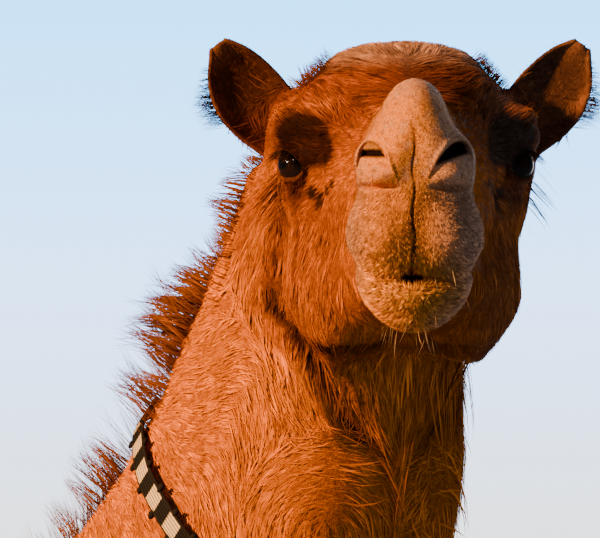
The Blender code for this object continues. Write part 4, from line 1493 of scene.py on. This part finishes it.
def mane():
    collar, napeTuft = np.array(middleOf("collar")), fromHead([maneHair["napeTuft"]])[0]
    upNeck = unit((headSpot - collar)[None])[0]

    def crowd(places, normals):
        share = regionShares(places)
        _, _, crestness = neckSides(places)
        nape = share["head"] * (share["inHead"][:, 1] < -0.13) * smoothstep(normals[:, 1], -0.1, 0.5)
        clumps = smoothstep(waves(places, maneHair["clumps"], 31), -0.6, 0.4)
        pressed = smoothstep(np.abs((places - collar) @ upNeck), 0.016, 0.030)
        crest = np.maximum(share["neck"] * smoothstep(crestness, 0.66, 0.92), nape * 0.6)
        clumps = clumps + 1.2 * near(places, napeTuft, maneHair["napeReach"])
        return crest * pressed * maneHair["crowd"] * (0.30 + 0.70 * clumps)

    def lie(places, normals):
        down, crest, _ = neckSides(places)
        swing = waves(places, 0.080, 32)[:, None]
        return unit(crest + down * (-0.15 + 0.55 * swing))

    roots = sow(crowd)
    low = 1 - smoothstep((roots[0] - collar) @ upNeck, 0.11, 0.26)
    clumps = smoothstep(waves(roots[0], maneHair["clumps"], 33), -0.4, 0.8)
    tall = maneHair["length"] + maneHair["lowLonger"] * low + 0.014 * clumps
    tall += 0.026 * near(roots[0], napeTuft, maneHair["napeReach"])
    for title, part, tip in (("mane_nape", low < 0.3, "mane"), ("mane_collar", low >= 0.3, "dark")):
        own = tuple(values[part] for values in roots)
        growInPieces(title, own, maneHair, lie=lie, length=tall[part], tip=tip)


# coarser hair on the body, shorter down the legs and on the feet
bodyHair = {
    "crowd": 15500,
    "length": 0.044,
    "width": 0.0046,
    "lift": 0.004,
    "stand": 0.05,
    "curl": 0.16,
    "every": 6,
    "pull": 0.45,
}


def bodyCoat():
    def crowd(places, normals):
        share = regionShares(places)
        body = bodyHair["crowd"] + 8000 * share["legs"] + 16000 * share["feet"]
        bare = 1 - 0.93 * padShare(places)
        return (1 - share["head"]) * (1 - share["neck"]) * body * bare * (places[:, 2] > 0.012)

    roots = sow(crowd)
    share = regionShares(roots[0])
    legs, feet = share["legs"], share["feet"]
    changes = {
        "length": bodyHair["length"] - 0.018 * legs - 0.010 * feet,
        "width": bodyHair["width"] - 0.0012 * legs - 0.0014 * feet,
        "lift": bodyHair["lift"] - 0.002 * legs,
    }
    growInPieces("coat_body", roots, bodyHair, **changes)


# longer, curlier hair on the hump, the shoulders, the throat and the tail's end
shaggyHair = {
    "crowd": 6500,
    "crowdTail": 42000,
    "length": 0.062,
    "tailLength": 0.085,
    "width": 0.0036,
    "lift": 0.009,
    "stand": 0.10,
    "curl": 0.26,
    "droop": 0.25,
    "rings": 3,
    "every": 12,
    "pull": 0.75,
}
shoulders = ((0.20, -0.22, 1.58), (-0.11, -0.22, 1.58))


def shaggyCoat():
    def crowd(places, normals):
        share = regionShares(places)
        hump = smoothstep(places[:, 2], 1.93, 2.10) * (places[:, 1] > -0.2)
        shoulder = sum(near(places, middle, (0.20, 0.30, 0.25)) for middle in shoulders)
        _, _, crestness = neckSides(places)
        throat = share["neck"] * smoothstep(-crestness, 0.72, 0.94)
        tail = share["tail"] * (1 - smoothstep(places[:, 2], 1.10, 1.22))
        shaggy = hump + 0.7 * np.clip(2 * shoulder, 0, 1) + 0.4 * throat
        return shaggy * shaggyHair["crowd"] * (1 - share["head"]) + tail * shaggyHair["crowdTail"]

    def lie(places, normals):
        tail = (places[:, 1] > 1.1)[:, None]
        usual = lieOf(places, normals)
        return usual + (np.array((0, 0.1, -1.0)) - usual) * tail

    roots = sow(crowd)
    tail = roots[0][:, 1] > 1.1
    changes = {
        "length": np.where(tail, shaggyHair["tailLength"], shaggyHair["length"]),
        "width": shaggyHair["width"] - 0.0014 * np.maximum(tail, regionShares(roots[0])["neck"]),
        "lift": shaggyHair["lift"] - 0.006 * tail,
        "stand": shaggyHair["stand"] - 0.08 * tail,
        "curl": shaggyHair["curl"] - 0.14 * tail,
    }
    growInPieces("coat_shaggy", roots, shaggyHair, lie=lie, **changes)


# dark hairs along the ears' edges, longest on the outer edge
earHair = {
    "crowd": 250000,
    "length": 0.0045,
    "outerLonger": 0.015,
    "width": 0.0004,
    "stand": 0.08,
    "curl": 0.35,
    "rings": 2,
    "every": 5,
    "pull": 0.15,
    "flat": False,
    "color": "dark",
    "tip": "dark",
}


def earFringe():
    def crowd(places, normals):
        share = regionShares(places)
        along, across, _ = inEar(share["inHead"])
        half = rowValue("widths", along / earShape["length"])
        base = 0.22 * (1 - smoothstep(along, 0.005, 0.035))
        edge = smoothstep(np.abs(across) / half, 0.84 - base, 0.97 - base)
        edge *= 1 - smoothstep(along, 0.050, 0.115)
        facing = normals @ turnFromHead([(0, 1, 0)])[0]
        inner = smoothstep(facing, 0.1, 0.5) * 0.05
        return share["ears"] * (edge * (0.45 + 0.55 * (across > 0)) + inner) * earHair["crowd"]

    def lie(places, normals):
        head = toHead(places)
        _, across, _ = inEar(head)
        lean, sign = math.radians(earShape["lean"]), np.sign(head[:, 0])
        tipward = np.stack(np.broadcast_arrays(sign * math.sin(lean), 0.0, math.cos(lean)), 1)
        out = np.stack(np.broadcast_arrays(sign * math.cos(lean), 0.0, -math.sin(lean)), 1)
        out = out * np.sign(across)[:, None]
        stray = np.array((0, 0.25, 0)) * chance.uniform(-0.5, 1, (len(sign), 1))
        return unit(turnFromHead(tipward * 0.5 + out * 0.9 + stray))

    roots = sow(crowd)
    along, across, _ = inEar(toHead(roots[0]))
    low = 1 - smoothstep(along, 0.045, 0.110)
    length = earHair["length"] + earHair["outerLonger"] * low * (across > 0) + 0.005 * low
    growInPieces("ear_fringe", roots, earHair, lie=lie, length=length)


# dark tufts beside the ears and over the brows
crownHair = {
    "crowd": 100000,
    "length": 0.015,
    "width": 0.0005,
    "lift": 0.001,
    "stand": 0.06,
    "curl": 0.30,
    "rings": 2,
    "every": 9,
    "pull": 0.25,
    "flat": False,
    "color": "deep",
    "tip": "dark",
}


def crownTufts():
    def crowd(places, normals):
        head = toHead(places)
        patch = mirroredNear(head, (0.084, -0.050, 0.088), (0.034, 0.050, 0.030))
        patch += 0.5 * mirroredNear(head, (0.100, 0.020, 0.040), (0.026, 0.040, 0.012))
        return np.clip(2 * patch, 0, 1) * crownHair["crowd"]

    def lie(places, normals):
        return headWay(np.sign(toHead(places)[:, 0]) * 0.8, -0.5, 0.75)

    growInPieces("crown_tufts", sow(crowd), crownHair, lie=lie)


# long dark lashes fanned over each eye
lashHair = {
    "length": 0.0125,
    "width": 0.0007,
    "curl": 0.12,
    "droop": 0.35,
    "rings": 3,
    "every": 4,
    "pull": 0.35,
    "flat": False,
    "color": "dark",
    "across": 46,
    "rows": 3,
}


def lashes():
    places, outward, lies = [], [], []
    radius = eyeShape["radius"] + eyeShape["lid"]
    for node, side in eyeSides.items():
        out, along, up = eyeAxes(side)
        middle = np.array(middleOf(node))
        for turn in np.linspace(0.15, 0.92, lashHair["across"]):
            for row in range(lashHair["rows"]):
                angle = math.pi * (turn + chance.uniform(-0.01, 0.01))
                ahead = math.cos(angle) * eyeShape["halfWidth"] * 1.03
                rise = math.sin(angle) * eyeShape["above"] * (1.08 + 0.06 * row)
                depth = math.sqrt(max(radius**2 - ahead**2 - rise**2, 0))
                places.append(middle + out * depth + along * ahead + up * rise)
                outward.append(up + out * 0.2)
                fan = along * (math.cos(angle) * 0.5 + chance.uniform(-0.1, 0.1))
                lies.append(out * 1.0 + fan - up * chance.uniform(0.15, 0.55))
    places, lies = np.array(places), unit(np.array(lies))
    points, _, uv = surface
    roots = places, unit(np.array(outward)), uv[nearestRows(places, points.mean(1))].mean(1)
    growInPieces("lashes", roots, lashHair, lie=lambda own, _: lies[nearestRows(own, places)])


# pale bristles under the chin and round the lips
whiskerHair = {
    "crowdChin": 9000,
    "crowdLips": 2000,
    "length": 0.026,
    "width": 0.0004,
    "stand": 0.25,
    "curl": 0.18,
    "droop": 0.10,
    "rings": 2,
    "pull": 0.0,
    "flat": False,
    "color": "whisker",
}


def whiskers():
    def crowd(places, normals):
        head = toHead(places)
        chin = near(head, (muzzleAside, 0.25, -0.140), (0.050, 0.060, 0.026))
        lips = near(head, (muzzleAside, 0.27, -0.085), (0.075, 0.070, 0.050))
        return chin * whiskerHair["crowdChin"] + lips * whiskerHair["crowdLips"]

    def lie(places, normals):
        return headWay((toHead(places)[:, 0] - muzzleAside) * 9, 0.35, -1.0)

    growInPieces("whiskers", sow(crowd), whiskerHair, lie=lie)


# long dark hairs that hang beside and below the eyes
templeHair = {
    "crowd": 30000,
    "length": 0.036,
    "width": 0.0011,
    "stand": 0.18,
    "curl": 0.14,
    "droop": 0.10,
    "rings": 3,
    "every": 7,
    "pull": 0.4,
    "flat": False,
    "color": "dark",
}


def templeHairs():
    def crowd(places, normals):
        temple = mirroredNear(toHead(places), (0.114, -0.022, -0.020), (0.020, 0.030, 0.034))
        return temple * templeHair["crowd"] * (1 - byEyes(places))

    def lie(places, normals):
        return headWay(np.sign(toHead(places)[:, 0]) * 0.75, 0.1, -0.9)

    growInPieces("temple_hairs", sow(crowd), templeHair, lie=lie)


faceCoat()
browStrands()
muzzleCoat()
neckCoat()
mane()
bodyCoat()
shaggyCoat()
earFringe()
crownTufts()
lashes()
whiskers()
templeHairs()
print("coat grown")


def makeSkinFinish():
    finish = Finish("skin", 0.62, Specular_IOR_Level=0.03)
    tint, bare = finish.stored("tint"), finish.stored("tint", "Alpha")
    fine = finish.noise(0.0040)
    pores = finish.noise(0.0014, detail=4.0)
    # painted shade on the skin under the coat, and pores where the skin is bare
    shadedUnderCoat = finish.ramp(fine, (0.3, (0.30, 0.28, 0.27)), (0.7, (0.70, 0.68, 0.66)))
    shown = finish.ramp(pores, (0.34, (0.52, 0.46, 0.42)), (0.62, (1.15, 1.12, 1.10)))
    tone = finish.mix(1.0, tint, finish.mix(bare, shadedUnderCoat, shown), "MULTIPLY")
    return finish.give(Base_Color=tone, Normal=finish.bump(pores + fine * 0.6, 0.0012, 0.7))


def tintSkin():
    mesh = skin.data
    points, normals = pointsOf(mesh), pointsOf(mesh, "normal")
    share = regionShares(points)
    colors = np.ones((len(points), 4))
    colors[:, :3] = markingsAndPaintedLight(points, normals)
    colors[:, 3] = np.clip(share["nose"] + 0.15 * share["muzzle"] + padShare(points), 0, 1)
    storeColors(mesh, "tint", colors)
    mesh.materials.append(makeSkinFinish())


tintSkin()


# eyes
eyeLook = {"iris": 0.0105, "pupil": (0.0062, 0.0040), "corneaCurve": 0.0145, "corneaAhead": 0.0096}


def makeEyes():
    # balls with a bulging cornea, the only things that the glint shines on
    shone = bpy.data.collections.new("shone")
    glint = bpy.data.objects["glint"]
    glint.light_linking.receiver_collection = glint.light_linking.blocker_collection = shone
    glint.visible_diffuse = False
    for node, side in eyeSides.items():
        out, along, up = eyeAxes(side)
        middle = np.array(middleOf(node))
        bpy.ops.object.select_all(action="DESELECT")
        bpy.ops.mesh.primitive_uv_sphere_add(segments=48, ring_count=32, radius=1)
        ball = bpy.context.object
        ball.name = f"{node}_ball"
        points = pointsOf(ball.data)
        front = points[:, 2]
        ahead, curve = eyeLook["corneaAhead"], eyeLook["corneaCurve"]
        slant = np.maximum(curve**2 - ahead**2 * (1 - front**2), 0)
        bulge = np.where(front > 0.5, ahead * front + np.sqrt(slant), 0)
        points *= np.maximum(eyeShape["radius"] - 0.0002, bulge)[:, None]
        placed = middle + points[:, :1] * along + points[:, 1:2] * up + points[:, 2:] * out
        setPoints(ball.data, placed)
        editing(ball)
        bpy.ops.mesh.normals_make_consistent(inside=False)
        done()
        bpy.ops.object.shade_smooth()
        rim = np.ones((len(points), 4))
        wide, tall = eyeLook["pupil"]
        span = points / np.linalg.norm(points, axis=1, keepdims=True) * eyeShape["radius"]
        rim[:, 0] = np.hypot(span[:, 0], span[:, 1]) / eyeLook["iris"] + 9 * (front < 0)
        rim[:, 1] = np.hypot(span[:, 0] / wide, span[:, 1] / tall) + 9 * (front < 0)
        rim[:, :2] /= 10
        storeColors(ball.data, "rings", rim)
        ball.data.materials.append(eyeFinish)
        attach(ball, "root")
        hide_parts(node)
        shone.objects.link(ball)


def makeEyeFinish():
    finish = Finish("wet_eye", 0.05, Specular_IOR_Level=0.07)
    iris, pupil, _ = finish.parts(finish.stored("rings"))
    fibres = finish.noise(0.0012, detail=4.0)
    brown = finish.ramp(fibres, (0.3, (0.006, 0.003, 0.002)), (0.7, (0.022, 0.009, 0.004)))
    dark = finish.mix(finish.between(pupil, 0.090, 0.115), (0.002, 0.002, 0.002), brown)
    tone = finish.mix(finish.between(iris, 0.094, 0.108), dark, (0.012, 0.006, 0.004))
    return finish.give(Base_Color=tone)


eyeFinish = makeEyeFinish()
makeEyes()
print("eyes made")


# collar: a woven band of cream and black blocks, with a bound edge and knots of yarn
collarLook = {
    "width": 0.0205,
    "thick": 0.0026,
    "off": 0.0085,  # clear of the skin, on the flattened coat
    "blocks": 52,
    "ribs": 6,
    "binding": 0.0019,
    "knotEvery": 2,  # blocks
    "knot": (0.0030, 0.0012),  # its least size and how much it varies
    "knotOff": 1.28,  # of the half width
}


def collarRing():
    # the band's middle line, with its ways along the neck and outward
    points = pointsOf(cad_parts["collar"].data)
    middle = (points.max(0) + points.min(0)) / 2
    _, _, axes = np.linalg.svd(points - points.mean(0), full_matrices=False)
    axis = axes[2] if axes[2] @ (headSpot - middle) > 0 else -axes[2]
    first = unit(np.cross(axis, (0, 0, 1.0))[None])[0]
    second = np.cross(axis, first)
    faces = [tuple(face.vertices) for face in skin.data.polygons]
    tree = BVHTree.FromPolygons(pointsOf(skin.data).tolist(), faces)
    ring = []
    for angle in np.linspace(0, 2 * math.pi, 720, endpoint=False):
        ray = first * math.cos(angle) + second * math.sin(angle)
        reach = []
        for shift in (-0.01, 0.0, 0.01):
            _, _, _, far = tree.ray_cast(Vector(middle + axis * shift), Vector(ray), 0.5)
            reach.append(0.15 if far is None else far)
        ring.append(middle + ray * (max(reach) + collarLook["off"]))
    ring = np.array(ring)
    for _ in range(30):
        ring = (ring + np.roll(ring, 1, 0) + np.roll(ring, -1, 0)) / 3
    tangent = unit(np.roll(ring, -1, 0) - np.roll(ring, 1, 0))
    across = unit(axis - tangent * (tangent @ axis)[:, None])
    outward = unit(np.cross(tangent, across))
    if (outward * (ring - middle)).sum() < 0:
        outward = -outward
    return ring, across, outward


def sweptBand(name, ring, across, outward, profile, finish):
    # a closed band: the profile's (across, outward) points carried round the ring
    count, per = len(ring), len(profile)
    wide, high = profile[None, :, :1], profile[None, :, 1:]
    verts = ring[:, None] + across[:, None] * wide + outward[:, None] * high
    faces = []
    for i in range(count):
        j = (i + 1) % count
        for k in range(per):
            m = (k + 1) % per
            faces.append((i * per + k, j * per + k, j * per + m, i * per + m))
    mesh = bpy.data.meshes.new(name)
    mesh.from_pydata(verts.reshape(-1, 3).tolist(), [], faces)
    steps = np.linalg.norm(np.roll(ring, -1, 0) - ring, axis=1)
    run = np.concatenate([[0], np.cumsum(steps)[:-1]]) / steps.sum()
    place = np.ones((count, per, 4))
    place[:, :, 0], place[:, :, 1] = run[:, None], (np.arange(per) / per)[None]
    place[:, :, 2] = (profile[:, 0] / collarLook["width"] + 0.5)[None]
    storeColors(mesh, "weave", place)
    obj = bpy.data.objects.new(name, mesh)
    bpy.context.collection.objects.link(obj)
    editing(obj)
    bpy.ops.mesh.normals_make_consistent(inside=False)
    done()
    bpy.ops.object.shade_smooth()
    mesh.materials.append(finish)
    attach(obj, "root")
    return obj


def makeBandFinish():
    finish = Finish("woven_wool", 0.88, Specular_IOR_Level=0.1)
    run, _, wide = finish.parts(finish.stored("weave"))
    block = finish.between(finish.sine(run * (collarLook["blocks"] * math.pi)), -0.03, 0.03)
    cords = finish.sine(wide * (collarLook["ribs"] * 2 * math.pi))
    thread = finish.noise(0.0011, detail=3.0)
    cream = finish.ramp(thread, (0.3, (0.62, 0.40, 0.20)), (0.7, (0.95, 0.72, 0.46)))
    black = finish.ramp(thread, (0.3, (0.005, 0.004, 0.003)), (0.7, (0.022, 0.017, 0.012)))
    # painted shade in the valleys between the cords
    groove = finish.between(cords, -1.0, -0.3) * 0.75 + 0.25
    tone = finish.mix(1.0, finish.mix(block, black, cream), finish.grey(groove), "MULTIPLY")
    return finish.give(Base_Color=tone, Normal=finish.bump(thread + cords * 0.3, 0.0008, 0.8))


def makeYarnFinish():
    finish = Finish("black_yarn", 0.9, Specular_IOR_Level=0.1)
    thread = finish.noise(0.0009, detail=3.0)
    tone = finish.ramp(thread, (0.3, (0.006, 0.004, 0.003)), (0.7, (0.024, 0.017, 0.012)))
    return finish.give(Base_Color=tone, Normal=finish.bump(thread, 0.0008, 0.9))


def tieKnot(spot, across, outward, slot):
    # a lump of yarn, rounder or longer from knot to knot
    bpy.ops.object.select_all(action="DESELECT")
    bpy.ops.mesh.primitive_ico_sphere_add(subdivisions=2, radius=1)
    knot = bpy.context.object
    points = pointsOf(knot.data)
    points *= 1 + 0.18 * np.sin(points[:, :1] * 9 + slot) * np.cos(points[:, 1:2] * 8)
    least, more = collarLook["knot"]
    size = least + more * chance.random()
    wide, high, deep = points[:, :1] * size * 1.5, points[:, 1:2] * size * 0.8, points[:, 2:] * size
    points = spot + across * wide + outward * (high + 0.0006) + np.cross(across, outward) * deep
    setPoints(knot.data, points)
    return knot


def makeCollar():
    ring, across, outward = collarRing()
    half, thick = collarLook["width"] / 2, collarLook["thick"]
    ribs = collarLook["ribs"]
    wide = np.linspace(-half, half, 4 * ribs + 1)
    ridge = thick / 2 + 0.0006 * (0.5 - 0.5 * np.cos(np.linspace(0, 2 * math.pi * ribs, len(wide))))
    top = np.stack([wide, ridge], 1)
    profile = np.concatenate([top, [(half, -thick / 2), (-half, -thick / 2)]])
    band = sweptBand("collar_band", ring, across, outward, profile, makeBandFinish())
    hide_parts("collar")
    yarn = makeYarnFinish()
    turns = np.linspace(0, 2 * math.pi, 9)[:-1]
    cord = np.stack([np.cos(turns), np.sin(turns)], 1) * collarLook["binding"]
    for name, shift in (("front", half), ("back", -half)):
        sweptBand(f"collar_{name}_binding", ring + across * shift, across, outward, cord, yarn)
    knots = []
    total = collarLook["blocks"]
    for slot in range(0, total, collarLook["knotEvery"]):
        for edge, ahead in ((half, 0.3), (-half, 0.8)):
            at = int((slot + ahead) / total * len(ring)) % len(ring)
            spot = ring[at] + across[at] * (edge * collarLook["knotOff"])
            knots.append(tieKnot(spot, across[at], outward[at], slot))
    only(knots[0])
    for knot in knots:
        knot.select_set(True)
    bpy.ops.object.join()
    knot = bpy.context.object
    knot.name = "collar_knots"
    bpy.ops.object.transform_apply(location=True, rotation=True, scale=True)
    bpy.ops.object.shade_smooth()
    knot.data.materials.clear()
    knot.data.materials.append(yarn)
    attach(knot, "root")


makeCollar()
print("collar made")


# nails: smooth horn over each toe's CAD nail
def makeNails():
    finish = Finish("horn", 0.42)
    grain = finish.noise(0.004, detail=4.0)
    tone = finish.ramp(grain, (0.3, (0.035, 0.022, 0.015)), (0.7, (0.13, 0.085, 0.055)))
    horn = finish.give(Base_Color=tone, Normal=finish.bump(grain, 0.0012, 0.5))
    for node in [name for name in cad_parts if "nail" in name]:
        nail = nodeCopy([node], f"{node}_horn")
        applied(nail, "REMESH", mode="VOXEL", voxel_size=0.0022)
        softened(nail.data, 10)
        points = pointsOf(nail.data)
        points[:, 2] = np.maximum(points[:, 2], 0.0012)
        setPoints(nail.data, points)
        bpy.ops.object.shade_smooth()
        nail.data.materials.append(horn)
        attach(nail, "root")
        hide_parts(node)


makeNails()
print("nails made")
